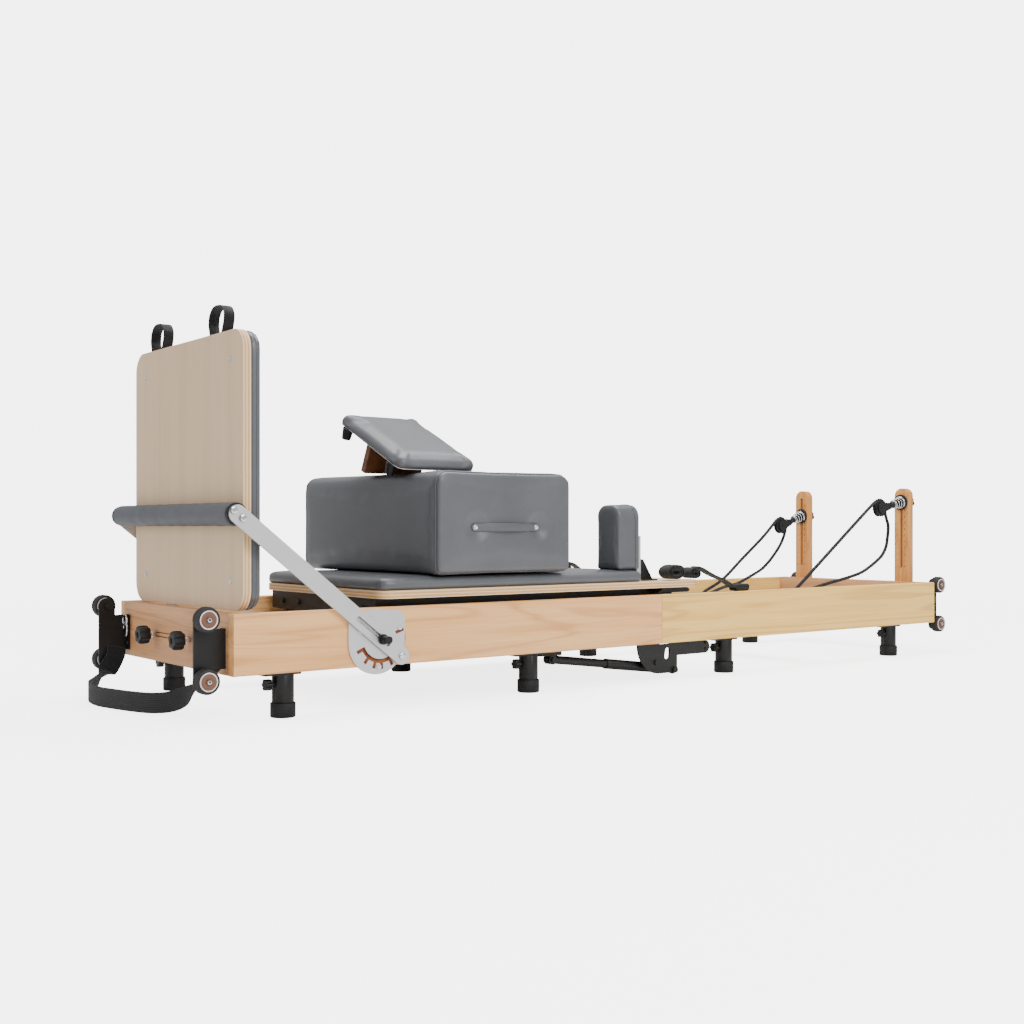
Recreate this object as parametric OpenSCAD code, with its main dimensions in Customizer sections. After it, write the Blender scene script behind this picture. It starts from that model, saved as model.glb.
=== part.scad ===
// Folding pilates reformer: wooden frame in two hinged halves, spring carriage,
// jump board, footbar, pulley risers, sitting box and tilting head pad.
// Millimetres. Origin on the floor under the middle of the frame, +X towards the pulleys.

/* [Frame] */
// Length of the unfolded frame over its end boards
frame_l = 2400; // [2380:10:2440]
// Width over the side rails
frame_w = 610; // [604:1:612]
// Height of the side rails
rail_h = 127; // [124:1:130]
// Thickness of the side rails and of the foot board
rail_t = 25; // [22:1:25]
// Height of the rails above the floor
leg_h = 93; // [92:1:96]

/* [Carriage] */
// Length of the carriage board
board_l = 1003; // [960:1:1010]
// Width of the carriage board
board_w = 564; // [550:2:566]
// Thickness of the plywood of the carriage and jump boards
ply_t = 18; // [15:1:18]
// Thickness of the carriage pad
pad_t = 31; // [25:1:32]
// Length of the carriage pad
pad_l = 800; // [760:10:800]

/* [Jump board] */
// Height of the jump board panel
jump_h = 583; // [500:1:600]
// Width of the jump board panel
jump_w = 573; // [500:1:580]

/* [Footbar] */
// Distance from the pivot to the middle of the bar
bar_arm = 434; // [430:1:440]
// Outer diameter of the foam grip
bar_d = 49; // [40:1:50]

/* [Sitting box] */
// Width of the box along the frame
box_x = 405; // [380:1:410]
// Height of the box
box_h = 241; // [200:1:245]

/* [Wheels] */
// Diameter of a transport wheel
wheel_d = 52; // [48:1:52]

/* [Hidden] */
$fn = 48;

// Gaps: running clearance of a pin in its bore, and air between parts that only rest together
run_gap = 0.05;
rest_gap = 0.3;

// Frame
end_x = frame_l / 2;
rail_y = frame_w / 2 - rail_t / 2;
inner_y = frame_w / 2 - rail_t;
rail_top = leg_h + rail_h;
rail_mid = leg_h + rail_h / 2;
seam_gap = 0.5;
edge_r = 4;
riser_post = [28, 50];
riser_y = 202;
riser_x = end_x - riser_post[0] / 2;
riser_top = rail_top + 299;
slot_w = 10;
slot_z = [rail_top + 43, rail_top + 274];
head_board_t = 50;
slat_h = 22;
slat_w = 70;

// Tracks: an upright strip on the rail with a shelf that the rollers run on
track_t = 3;
shelf_z = leg_h + 57;
shelf_t = 4;
shelf_w = 32;
track_h = 30;
track_foot_x = -end_x + 115;
track_head_x = end_x - head_board_t - 2;
stop_l = 10;
stop_x = -790;

// Legs
leg_front_x = [-1077.5, -423.3];
leg_rear_x = [258.1, 995.6];
leg_y = 280;
leg_d = 46;
foot_d = 53;
foot_h = 30;
foot_cup = 6;

// Wheels and their brackets
wheel_w = 25;
wheel_y = 284.5;
wheel_x = end_x + 50;
wheel_z = [86, 210];
axle_d = 8;
disc_d = 39;
plate_y = 262;
plate_t = 5;

// Fold hinge
fold_x = 55;
fold_z = 22;
fold_pin_d = 10;
brace_x = -344;
brace_z = 71.6;
brace_y = 266;

// End knobs
knob_y = 94;
knob_z = 154;
knob_x = -end_x - 18;

// Footbar
pivot = [-857, 152];
bar_tilt = 38.4;
bar_plate_t = 5;
arm_t = 5;
arm_w = 38;
arm_tail = 63;
arm_gap = 3;
arm_y = frame_w / 2 + bar_plate_t + arm_gap;
half_wide = 345;
arm_slot = [-18, 76];
pivot_d = 10;

// Carriage
board_x = -835;
board_z = rail_top + 16;
board_top = board_z + ply_t;
pad_top = board_top + pad_t;
roller_x = [-760, -60];
roller_r = 19.7;
roller_z = shelf_z + shelf_t + 20;
roller_y = 261;
roller_w = 22;
spring_z = 176;
spring_r = 9;
spring_bar_x = -end_x + 70;
spring_hook_x = -775;

// Jump board
jump_x = -end_x + 29.5;
jump_z = rail_top + 1.5;
jump_pad_t = 27;
post_x = -end_x + 32;
post_t = 10;
post_w = 40;

// Box and head pad
box_y = [-300, 334];
box_x0 = -701.5;
box_z = pad_top + 0.6;
box_top = box_z + box_h;
head_tilt = 25;
head_x = [-722, -500];
head_y = -170;
head_z = box_top + 2;
head_len = 302;
head_foot_t = [42, 262];
head_foot_h = 28;
prop_t = 172;
prop_x = [-698, -532];
prop_pin = 4;

// Ropes and pulleys
rope_d = 8.5;
sheave_r = 27;
sheave_root = 20;
pulley_reach = 110;
pulley_z = [474, 432];
pulley_tilt = [10, 17];
washer_t = 5.7;

// Rope routes: clip by the carriage, up over the sheave, down in a slack curve to the other clip
near_route = [[214, -190, 195.5], [262, -190, 180], [330, -192, 155], [420, -196, 142],
    [500, -200, 144], [560, -202, 163], [620, -202, 190], [666, -202, 219], [760, -202, 284],
    [842, -202, 341], [940, -202, 409], [1010, -202, 457], [1036, -202, 473], [1055, -202, 480],
    [1066.3, -202, 479.4], [1076, -202, 474.4], [1082.7, -202, 465.6], [1085.6, -202, 454.9],
    [1088, -202, 438], [1096, -202, 418],
    [1104, -202, 396], [1100, -202, 362], [1092, -202, 332], [1072, -202, 306],
    [1044, -202, 288], [1008, -202, 270], [968, -202, 254], [922, -201, 243], [877, -200, 235],
    [824, -198, 226], [773, -194, 216], [720, -188, 204], [660, -180, 190], [590, -170, 172],
    [510, -160, 156], [430, -154, 148], [350, -150, 152], [270, -150, 176], [214, -150, 195.5]];
far_route = [[214, 190, 195.5], [262, 190, 180], [340, 192, 156], [430, 196, 142],
    [520, 200, 140], [600, 202, 150], [658, 202, 168], [696, 202, 189], [776, 202, 224],
    [870, 202, 290], [968, 202, 358], [1020, 202, 400], [1040, 202, 417], [1058, 202, 425],
    [1069.4, 202, 424.3], [1079.1, 202, 419.3], [1085.8, 202, 410.5], [1088.6, 202, 399.8],
    [1088, 202, 388], [1080, 202, 366],
    [1062, 202, 336], [1034, 202, 306], [1000, 202, 276], [958, 201, 250], [900, 200, 228],
    [842, 197, 209], [797, 193, 203], [752, 187, 196], [680, 176, 180], [600, 166, 162],
    [510, 158, 148], [430, 154, 144], [350, 150, 150], [270, 150, 176], [214, 150, 195.5]];
// Pull strap: far bracket, down and out, along the floor and up to the near bracket
strap_route = [[-1228, 260, 116], [-1232, 254, 98], [-1244, 251, 76], [-1266, 244, 52],
    [-1296, 222, 34], [-1322, 180, 28], [-1334, 130, 26], [-1334, 80, 25], [-1322, 20, 25],
    [-1306, -40, 25], [-1286, -95, 26], [-1264, -140, 32], [-1246, -182, 48], [-1238, -215, 68],
    [-1232, -240, 90], [-1229, -257, 106], [-1228, -259.5, 118]];
strap_half = [1.6, 22];

// ---------------------------------------------------------------- shared shapes

// Rectangle of w by h with rounded corners, centred
module rrect(w, h, r) {
    square([w, h - 2 * r], center = true);
    square([w - 2 * r, h], center = true);
    for (i = [-1, 1], j = [-1, 1]) translate([i * (w / 2 - r), j * (h / 2 - r)]) circle(r);
}

// The children and their copy on the far side
module both_sides() {
    children();
    mirror([0, 1, 0]) children();
}

// Round bar along X, Y or Z that starts at the local origin
module rod_x(d, l) { rotate([0, 90, 0]) cylinder(d = d, h = l); }
module rod_y(d, l) { rotate([-90, 0, 0]) cylinder(d = d, h = l); }

// Outline in X and Z, extruded from y by t
module slab_xz(y, t) { translate([0, y + t, 0]) rotate([90, 0, 0]) linear_extrude(t) children(); }

// Outline in Y and Z, extruded from x by t
module slab_yz(x, t) { translate([x, 0, 0]) rotate([90, 0, 90]) linear_extrude(t) children(); }

// Socket-head bolt head along Y with its recess
module bolt_head(d, h) {
    difference() {
        rod_y(d, h);
        translate([0, h / 2, 0]) rod_y(d * 0.45, h);
    }
}

// Star-shaped hand knob with its face towards +Z
module star_knob(d, h) {
    difference() {
        cylinder(d = d, h = h);
        for (i = [0:5]) rotate(i * 60) translate([d * 0.56, 0, -1]) cylinder(d = d * 0.34, h = h + 2);
    }
}

// Tube swept along a route: rings of n sides square to the route. Half widths are across and
// along ref, a direction for each ring that the route never runs along.
function unit(v) = v / norm(v);
function heading(p, i) = unit(p[min(i + 1, len(p) - 1)] - p[max(i - 1, 0)]);
function ring(p, i, half, n, ref) =
    let (t = heading(p, i), w = unit(ref - t * (ref * t)), s = cross(t, w))
    [for (k = [0:n - 1]) p[i] + s * half[0] * cos(360 * k / n) + w * half[1] * sin(360 * k / n)];
module swept(p, half, n, refs) {
    rings = len(p);
    polyhedron(
        points = [for (i = [0:rings - 1]) each ring(p, i, half, n, refs[i])],
        faces = concat(
            [[for (k = [0:n - 1]) k]],
            [[for (k = [n - 1:-1:0]) (rings - 1) * n + k]],
            [for (i = [0:rings - 2], k = [0:n - 1])
                [i * n + k, (i + 1) * n + k, (i + 1) * n + (k + 1) % n, i * n + (k + 1) % n]]));
}

// ---------------------------------------------------------------- frame halves

module rails(x0, x1) {
    both_sides() translate([x0, -rail_y, rail_mid]) rotate([90, 0, 90]) linear_extrude(x1 - x0)
        rrect(rail_t, rail_h, edge_r);
}

module slat(x) {
    translate([x, -inner_y, leg_h]) cube([slat_w, 2 * inner_y, slat_h]);
}

module front_rails() color("burlywood") rails(-end_x, -seam_gap);
module rear_rails() color("burlywood") rails(seam_gap, end_x);

// Foot board with its two clamp-screw bores, and two slats
module front_cross_boards() color("tan") {
    difference() {
        translate([-end_x, -inner_y, leg_h]) cube([rail_t, 2 * inner_y, rail_h]);
        for (s = [-1, 1]) translate([-end_x - 1, s * knob_y, knob_z])
            rod_x(axle_d + 2 * run_gap, rail_t + 2);
    }
    slat(-90);
    slat(-640);
}

// Head board that the risers stand in, and two slats
module rear_cross_boards() color("tan") {
    difference() {
        translate([end_x - head_board_t, -inner_y, leg_h]) cube([head_board_t, 2 * inner_y, rail_h]);
        for (s = [-1, 1]) translate([riser_x, s * riser_y, rail_mid])
            translate([-riser_post[0] / 2, -riser_post[1] / 2, -rail_h / 2 + 20])
                cube([riser_post[0] + 1, riser_post[1], rail_h]);
    }
    slat(20);
    slat(600);
}

module tracks(x0, x1) {
    both_sides() translate([x0, -inner_y, 0]) {
        translate([0, 0, shelf_z]) cube([x1 - x0, track_t, track_h]);
        translate([0, 0, shelf_z]) cube([x1 - x0, track_t + shelf_w, shelf_t]);
    }
}
module front_tracks() color("silver") {
    tracks(track_foot_x, -1);
    both_sides() translate([stop_x, -inner_y + track_t + 5, shelf_z + shelf_t])
        cube([stop_l, 20, 16]);
}
module rear_tracks() color("silver") tracks(1, track_head_x);

// Leg tubes with their mounting plates and clamp knobs
module legs(xs) {
    both_sides() for (x = xs) translate([x, -leg_y, 0]) {
        translate([0, 0, foot_cup]) cylinder(d = leg_d, h = leg_h - 4 - foot_cup);
        translate([-52, -21, leg_h - 4]) cube([84, 44, 4]);
        translate([-leg_d / 2 - 6, 0, leg_h - 24]) rotate([0, -90, 0]) {
            star_knob(24, 14);
            translate([0, 0, -7]) cylinder(d = 8, h = 8);
        }
    }
}
module front_legs() color("dimgray") legs(leg_front_x);
module rear_legs() color("dimgray") legs(leg_rear_x);

// Rubber feet, cups that the leg tubes stand in
module feet(xs) {
    both_sides() for (x = xs) translate([x, -leg_y, 0]) difference() {
        union() {
            cylinder(d1 = foot_d - 3, d2 = foot_d, h = 2);
            translate([0, 0, 2]) cylinder(d = foot_d, h = foot_h - 2);
        }
        translate([0, 0, foot_cup]) cylinder(d = leg_d, h = foot_h);
    }
}
module front_feet() color("black") feet(leg_front_x);
module rear_feet() color("black") feet(leg_rear_x);

// Wheel bracket: upright plate with two axles, and a lip screwed to the end board.
// Drawn for the near side of the +X end.
module wheel_bracket() {
    mid = (wheel_z[0] + wheel_z[1]) / 2;
    plate_far = wheel_x + 19;
    slab_xz(-plate_y - plate_t, plate_t) {
        for (z = wheel_z) translate([wheel_x, z]) circle(19);
        translate([wheel_x - 19, wheel_z[0]]) square([38, wheel_z[1] - wheel_z[0]]);
        translate([end_x, mid - 41]) square([plate_far - end_x - 1, 82]);
    }
    translate([end_x, -plate_y - 1, mid - 41]) cube([4, 16, 82]);
    for (z = [mid - 25, mid + 25]) translate([end_x + 3, -plate_y + 8, z]) rod_x(9, 5);
    for (z = wheel_z) translate([wheel_x, 0, z]) {
        translate([0, -wheel_y - wheel_w / 2 - 4, 0]) rod_y(axle_d, wheel_w + 10);
        translate([0, -wheel_y - wheel_w / 2 - 4.3, 0]) bolt_head(10, 4);
        translate([0, -plate_y - plate_t - 4.7, 0]) rod_y(12, 5);
        translate([0, -plate_y - 1, 0]) rod_y(13, 6);
    }
}
// Foot-end brackets, with the strap ring on the far one
module foot_brackets() color("dimgray") {
    both_sides() mirror([1, 0, 0]) wheel_bracket();
    translate([-end_x - 12, plate_y - 12, 176]) rotate([90, 0, 90]) rotate_extrude()
        translate([12, 0]) circle(d = 4);
}
module head_brackets() color("dimgray") both_sides() wheel_bracket();

// Side plates of the footbar: squarer upper half, round lower half, arc of lock notches, screws
module footbar_plates() color("lightgray") both_sides() {
    slab_xz(-frame_w / 2 - bar_plate_t, bar_plate_t) difference() {
        union() {
            circle_at(-866, 147, 71);
            translate([-866, 174]) rrect(142, 82, 24);
        }
        for (a = [-156, -129, -106, -88, -63]) translate(pivot) rotate(a)
            translate([46, -4]) square([19, 8]);
        translate(pivot) difference() {
            circle(52);
            circle(43);
            rotate(-60) translate([-80, 0]) square(160);
            rotate(-160) translate([-80, -160]) square(160);
        }
        translate(pivot) circle(pivot_d / 2 + run_gap);
        translate(pivot) rotate(18) translate([40, -3.5]) square([22, 7]);
        translate(pivot) rotate(-38) translate([44, -3.5]) square([22, 7]);
    }
    for (p = [[-884, 200], [-908, 171], [-808, 175], [-862, 92]])
        translate([p[0], -frame_w / 2 - bar_plate_t - 2.2, p[1]]) bolt_head(11, 2.2);
}
module circle_at(x, z, r) { translate([x, z]) circle(r); }

// Front half of the fold hinge: quarter plates with a window, the fold pins, and brace tubes
module fold_hinge_front() color("dimgray") both_sides() {
    slab_xz(-295, 4) difference() {
        union() {
            intersection() {
                circle_at(0, leg_h, 78);
                translate([-78, leg_h - 78]) square([78, 78]);
            }
            translate([-1, leg_h - 78]) square([66, 76]);
        }
        translate([28, 66]) rotate(-12) rrect(16, 30, 7);
    }
    translate([fold_x, -300, fold_z]) rod_y(fold_pin_d, 46);
    translate([fold_x, -300.5, fold_z]) bolt_head(16, 5.5);
    translate([-12, -299, 44.5]) bolt_head(14, 4);
    translate([fold_x, -brace_y - 10, fold_z]) rod_y(22, 20);
    brace_a = atan((brace_z - fold_z) / (fold_x - brace_x));
    brace_l = norm([brace_z - fold_z, fold_x - brace_x]);
    translate([brace_x, -brace_y, brace_z]) rotate([0, brace_a, 0]) {
        rod_x(21, brace_l * 0.6);
        translate([brace_l * 0.45, 0, 0]) rod_x(26, brace_l * 0.55 - 8);
    }
    translate([brace_x, -brace_y - 12, brace_z]) rod_y(24, 24);
    translate([brace_x, -brace_y - 17, brace_z]) bolt_head(13, 5.5);
    translate([brace_x - 28, -brace_y - 11, leg_h - 12]) cube([56, 22, 12]);
}

// Rear half of the fold hinge: a bar under each rail with a drop to the pin
module fold_hinge_rear() color("dimgray") both_sides() {
    difference() {
        slab_xz(-289.5, 6) {
            circle_at(fold_x, fold_z, 12);
            translate([fold_x - 12, fold_z]) square([24, leg_h - fold_z]);
            translate([fold_x, 58]) square([120, leg_h - 58]);
            translate([175, 75.5]) circle(17.5);
        }
        translate([fold_x, -292, fold_z]) rod_y(fold_pin_d + 2 * run_gap, 12);
    }
    for (z = [69, 85]) translate([178, -292.5, z]) bolt_head(8, 3);
}

// Inside the foot end: spring bar on two blocks, and the sockets of the jump board posts
module foot_fittings() color("silver") {
    translate([spring_bar_x, -262, spring_z]) rod_y(16, 524);
    both_sides() translate([spring_bar_x - 12, -inner_y, spring_z - 15]) cube([24, 20, 30]);
    for (s = [-1, 1]) translate([-end_x + rail_t, s * knob_y, 0]) difference() {
        translate([0, -post_w / 2 - 4, 98]) cube([20.5, post_w + 8, rail_top - 100]);
        translate([post_x + end_x - rail_t - rest_gap, -post_w / 2 - rest_gap, 107.5])
            cube([post_t + 2 * rest_gap, post_w + 2 * rest_gap, rail_h]);
        translate([-1, 0, knob_z]) rod_x(axle_d + 2 * run_gap, 9);
    }
}

// Webbing strap to pull the folded frame along: it leaves the brackets flat to them and turns
// until it stands on its edge along the floor
module pull_strap() {
    n = len(strap_route);
    refs = [for (i = [0:n - 1]) let (f = max(0, min(1, min(i - 1, n - 2 - i) / 4))) [1 - f, 0, f]];
    color("black") swept(strap_route, strap_half, 8, refs);
}

// Riser posts with a slot for the pulley bolt and scale marks cut beside it
module risers() color("burlywood") for (s = [-1, 1]) translate([riser_x, s * riser_y, 0])
    difference() {
        slab_yz(-riser_post[0] / 2, riser_post[0]) {
            translate([0, riser_top - 25]) circle(25);
            translate([-25, leg_h + 20]) square([50, riser_top - leg_h - 45]);
        }
        slab_yz(-20, 40) {
            for (z = [slot_z[0] + 5, slot_z[1] - 5]) translate([0, z]) circle(slot_w / 2);
            translate([-slot_w / 2, slot_z[0] + 5]) square([slot_w, slot_z[1] - slot_z[0] - 10]);
        }
        for (i = [0:10]) translate([-riser_post[0] / 2 - 1, 10, slot_z[0] + 5 + i * 20])
            cube([1.6, i % 5 == 0 ? 11 : 7, 1.2]);
    }

// ---------------------------------------------------------------- wheels and knobs

// Transport wheel: rubber tyre and the disc it is pressed on; side is -1 near, 1 far
module wheel(end, side, z) {
    translate([end * wheel_x, side * wheel_y, z]) rotate([90, 0, 0]) {
        color("darkslategray") rotate_extrude() translate([wheel_d / 4 + disc_d / 4, 0])
            rrect(wheel_d / 2 - disc_d / 2, wheel_w, 2.5);
        color("rosybrown") rotate_extrude()
            translate([axle_d / 2 + run_gap, -wheel_w / 2 + 1])
                square([disc_d / 2 - axle_d / 2 - run_gap, wheel_w - 2]);
    }
}
module wheel_foot_near_top() wheel(-1, -1, wheel_z[1]);
module wheel_foot_near_low() wheel(-1, -1, wheel_z[0]);
module wheel_foot_far_top() wheel(-1, 1, wheel_z[1]);
module wheel_foot_far_low() wheel(-1, 1, wheel_z[0]);
module wheel_head_near_top() wheel(1, -1, wheel_z[1]);
module wheel_head_near_low() wheel(1, -1, wheel_z[0]);
module wheel_head_far_top() wheel(1, 1, wheel_z[1]);
module wheel_head_far_low() wheel(1, 1, wheel_z[0]);

// Clamp screw with a star head; its end stops just short of the jump board post
module end_knob(y) color("dimgray") translate([knob_x, y, knob_z]) {
    rod_x(axle_d, post_x - rest_gap - knob_x);
    rotate([0, -90, 0]) star_knob(42, 26);
    translate([-1, 0, 0]) rod_x(20, 5);
    translate([9, 0, 0]) rotate([0, 90, 0]) cylinder(d = 15, h = 4, $fn = 6);
}
module end_knob_near() end_knob(-knob_y);
module end_knob_far() end_knob(knob_y);

// ---------------------------------------------------------------- footbar

// Places children with +X from the pivot along the arm towards the bar, Y across the frame
module along_arm() { translate([pivot[0], 0, pivot[1]]) rotate([0, bar_tilt - 180, 0]) children(); }

// Flat steel arms, each with a slot that slides on the pivot bolt, and a lock pin at the tail
module footbar_arms() color("silver") both_sides() along_arm() {
    difference() {
        slab_xz(-arm_y - arm_t, arm_t) {
            translate([-arm_tail, 0]) circle(arm_w / 2);
            translate([bar_arm, 0]) circle(arm_w / 2);
            translate([-arm_tail, -arm_w / 2]) square([bar_arm + arm_tail, arm_w]);
        }
        slab_xz(-arm_y - arm_t - 1, arm_t + 2) {
            for (x = arm_slot) translate([x, 0]) circle(5.5);
            translate([arm_slot[0], -5.5]) square([arm_slot[1] - arm_slot[0], 11]);
        }
    }
    translate([-arm_tail, -arm_y - arm_t - 4, 0]) bolt_head(12, 4);
    translate([-arm_tail, -arm_y, 0]) rod_y(8, arm_gap - rest_gap);
}

// Steel tube with end caps between the arms, and the bolts that hold it
module footbar_tube() color("dimgray") {
    both_sides() along_arm() translate([bar_arm, 0, 0]) {
        translate([0, -arm_y, 0]) rod_y(25, arm_y);
        translate([0, -arm_y, 0]) rod_y(bar_d - 3, 6.5);
        for (x = [-13, 13]) translate([x, -arm_y - arm_t - 4.5, 0]) bolt_head(13, 4.5);
    }
}

// Foam grip over the tube
module footbar_grip() color("gray") along_arm() translate([bar_arm, 0, 0]) difference() {
    translate([0, 7 - arm_y, 0]) rod_y(bar_d, 2 * arm_y - 14);
    translate([0, -arm_y, 0]) rod_y(25 + rest_gap, 2 * arm_y);
}

// Pivot bolts that turn in the side plates and carry the arms, with a grip on the outside
module footbar_pivots() color("dimgray") both_sides() along_arm() {
    translate([0, -arm_y - arm_t - 8, 0]) rod_y(pivot_d, arm_t + arm_gap + bar_plate_t + 7.7);
    translate([0, -half_wide, 0]) rod_y(17, half_wide - arm_y - arm_t - rest_gap);
    translate([0, -arm_y - arm_t - 6, 0]) rod_y(23, 6 - rest_gap);
}

// Coil springs in the slots of the arms
module footbar_springs() color("silver") both_sides() along_arm()
    translate([pivot_d / 2 + 1, -arm_y - arm_t / 2, 0]) rod_x(arm_t, arm_slot[1] - pivot_d / 2 + 1);

// ---------------------------------------------------------------- carriage

module carriage_board() color("wheat") translate([board_x + board_l / 2, 0, board_z])
    linear_extrude(ply_t) rrect(board_l, board_w, 32);

// Pad with a rounded rim, drawn as two steps
module carriage_pad() color("gray") translate([board_x + pad_l / 2, 0, board_top]) {
    linear_extrude(pad_t - 8) rrect(pad_l - 1, board_w - 4, 32);
    linear_extrude(pad_t) rrect(pad_l - 14, board_w - 18, 26);
}

// Steel under-frame: cross members, side channels, roller hangers, spring hooks, end blocks
module carriage_frame() color("dimgray") {
    side_y = 236;
    side_z = board_z - 40;
    difference() {
        union() {
            translate([board_x + 4, -side_y - 10, board_z - 44]) cube([32, 2 * side_y + 20, 44]);
            translate([60, -side_y, side_z]) cube([30, 2 * side_y, 40]);
            both_sides() translate([board_x + 4, -side_y - 10, side_z]) cube([925, 10, 40]);
            both_sides() for (x = roller_x) translate([x - 24, -side_y - 10, roller_z - 18])
                cube([48, 6, board_z - roller_z]);
        }
        for (x = roller_x) translate([x, -side_y - 20, roller_z])
            rod_y(12 + 2 * run_gap, 2 * side_y + 40);
    }
    both_sides() slab_xz(-274, 274 - side_y - 10)
        polygon([[14, 223], [40, board_z], [122, board_z], [134, 229], [128, 223]]);
    for (y = [-200, -40, 40, 200]) translate([spring_hook_x - 4, y - 3, spring_z - 5])
        cube([8, 6, board_z - spring_z + 5]);
    translate([spring_hook_x, -205, spring_z]) rod_y(12, 410);
    for (y = [-190, -110, 110, 190]) translate([board_x - 2, y, board_z - 24]) rod_x(13, 7);
}

// Axle with a roller at each end
module rollers(x) color("black") translate([x, 0, roller_z]) {
    translate([0, -roller_y - 10, 0]) rod_y(12, 2 * roller_y + 20);
    both_sides() translate([0, -roller_y - roller_w / 2, 0]) rod_y(2 * roller_r, roller_w);
}
module rollers_foot() rollers(roller_x[0]);
module rollers_head() rollers(roller_x[1]);

shoulder_y = [169, 260];
shoulder_mid = (shoulder_y[0] + shoulder_y[1]) / 2;
shoulder_front = board_x + pad_l;
shoulder_top = 453;
plate_d = 14;

// Upright blocks that the shoulders push against
module shoulder_pads() color("gray") both_sides()
    slab_yz(shoulder_front - 76, 75.5) {
        w = shoulder_y[1] - shoulder_y[0];
        translate([-shoulder_mid, pad_top + rest_gap]) {
            translate([-w / 2, 0]) square([w, shoulder_top - pad_top - 30]);
            translate([-w / 2 + 30, 0]) square([w - 60, shoulder_top - pad_top - rest_gap]);
            for (s = [-1, 1]) translate([s * (w / 2 - 30), shoulder_top - pad_top - 30]) circle(30);
        }
    }

// Back plates, gussets and feet of the shoulder blocks
module shoulder_brackets() color("silver") both_sides() {
    translate([shoulder_front - 0.5, -shoulder_mid - 33, board_top + 1]) cube([plate_d, 66, 117]);
    translate([shoulder_front - 0.5, -shoulder_mid - 33, board_top]) cube([76, 66, 4]);
    slab_xz(-shoulder_mid - 15, 30) polygon([[shoulder_front + plate_d - 1, board_top + 3],
        [shoulder_front + 74, board_top + 3], [shoulder_front + 40, board_top + 56],
        [shoulder_front + plate_d - 1, board_top + 58]]);
}

// Five extension springs between the spring bar and the carriage hooks
module carriage_springs() color("silver") for (y = [-160, -80, 0, 80, 160])
    translate([spring_bar_x + 8 + rest_gap, y, spring_z])
        rod_x(2 * spring_r, spring_hook_x - 6 - spring_bar_x - 8 - 2 * rest_gap);

// ---------------------------------------------------------------- jump board

module jump_board_panel() color("wheat") difference() {
    translate([0, 0, jump_z + jump_h / 2]) slab_yz(jump_x, ply_t) rrect(jump_w, jump_h, 45);
    for (s = [-1, 1]) translate([post_x - 0.2, s * knob_y - post_w / 2 - 0.2, jump_z - 1])
        cube([post_t + 0.4, post_w + 0.4, 61]);
}
module jump_board_pad() color("gray") translate([0, 0, jump_z + jump_h / 2]) {
    slab_yz(jump_x + ply_t, jump_pad_t - 8) rrect(jump_w - 2, jump_h - 2, 45);
    slab_yz(jump_x + ply_t, jump_pad_t) rrect(jump_w - 16, jump_h - 16, 38);
}

// Webbing loops on the top edge
module jump_board_loops() color("black") for (y = [-158, 158]) translate([jump_x - 1.5, 0, 0])
    slab_yz(0, 26) translate([y, jump_z + jump_h]) {
        difference() {
            translate([0, 14]) circle(46);
            translate([0, 14]) circle(43);
            translate([-50, -50]) square([100, 64]);
        }
        for (s = [-44.5, 44.5]) translate([s - 1.5, 0]) square([3, 14]);
    }

// Steel posts that stand in the sockets, and the panel bolts
module jump_board_posts() color("silver") {
    for (s = [-1, 1]) translate([post_x, s * knob_y - post_w / 2, 108])
        cube([post_t, post_w, jump_z + 59 - 108]);
    for (y = [-226, 226], z = [jump_z + 63, jump_z + 524]) translate([jump_x - 1.2, y, z])
        rotate([90, 0, 90]) difference() {
            cylinder(d = 13, h = 1.2);
            translate([0, 0, -1]) cylinder(d = 6, h = 1.6);
        }
}

// ---------------------------------------------------------------- sitting box and head pad

box_mid = [box_x0 + box_x / 2, (box_y[0] + box_y[1]) / 2];
box_w = box_y[1] - box_y[0];

// Places children in the head pad's frame: Y up its slope from the low edge, Z off its base
module on_head_pad() { translate([0, head_y, head_z]) rotate([head_tilt, 0, 0]) children(); }

// Padded box, with the dents that the feet of the head pad press into it
module box_body() color("gray") difference() {
    union() {
        translate([box_mid[0], box_mid[1], box_z + 8]) linear_extrude(box_h - 16)
            rrect(box_x, box_w, 26);
        translate([box_mid[0], box_mid[1], box_z]) linear_extrude(box_h)
            rrect(box_x - 14, box_w - 14, 24);
    }
    translate([-515, head_y + 48, box_top - 20]) cylinder(r = 24, h = 40);
}

// Carry handle on each end: a strap bowed out between two screws
module box_handles() color("dimgray") for (s = [0, 1])
    translate([box_mid[0], box_y[s], box_z + 109]) mirror([0, 1 - s, 0]) {
        bow_r = 470;
        intersection() {
            difference() {
                translate([0, 10.8 - bow_r, 0]) cylinder(r = bow_r, h = 20, center = true, $fn = 180);
                translate([0, 10.8 - bow_r, 0])
                    cylinder(r = bow_r - 3, h = 22, center = true, $fn = 180);
            }
            translate([-97, 0, -10]) cube([194, 20, 20]);
        }
        for (x = [-90, 90]) translate([x, 1, 0]) rod_y(13, 6);
    }

module head_pad_cushion() color("gray") on_head_pad() {
    size = [head_x[1] - head_x[0], head_len];
    translate([(head_x[0] + head_x[1]) / 2, head_len / 2, 6]) {
        linear_extrude(21) rrect(size[0], size[1], 20);
        linear_extrude(29) rrect(size[0] - 14, size[1] - 14, 14);
    }
}

// Base board with its four rubber feet
module head_pad_base() color("dimgray") on_head_pad() {
    size = [head_x[1] - head_x[0] - 4, head_len - 4];
    translate([(head_x[0] + head_x[1]) / 2, head_len / 2, 0]) linear_extrude(6)
        rrect(size[0], size[1], 18);
    for (x = [-715, -515], t = head_foot_t) translate([x, t, -head_foot_h])
        cylinder(r1 = 11, r2 = 14, h = head_foot_h);
}

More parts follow.
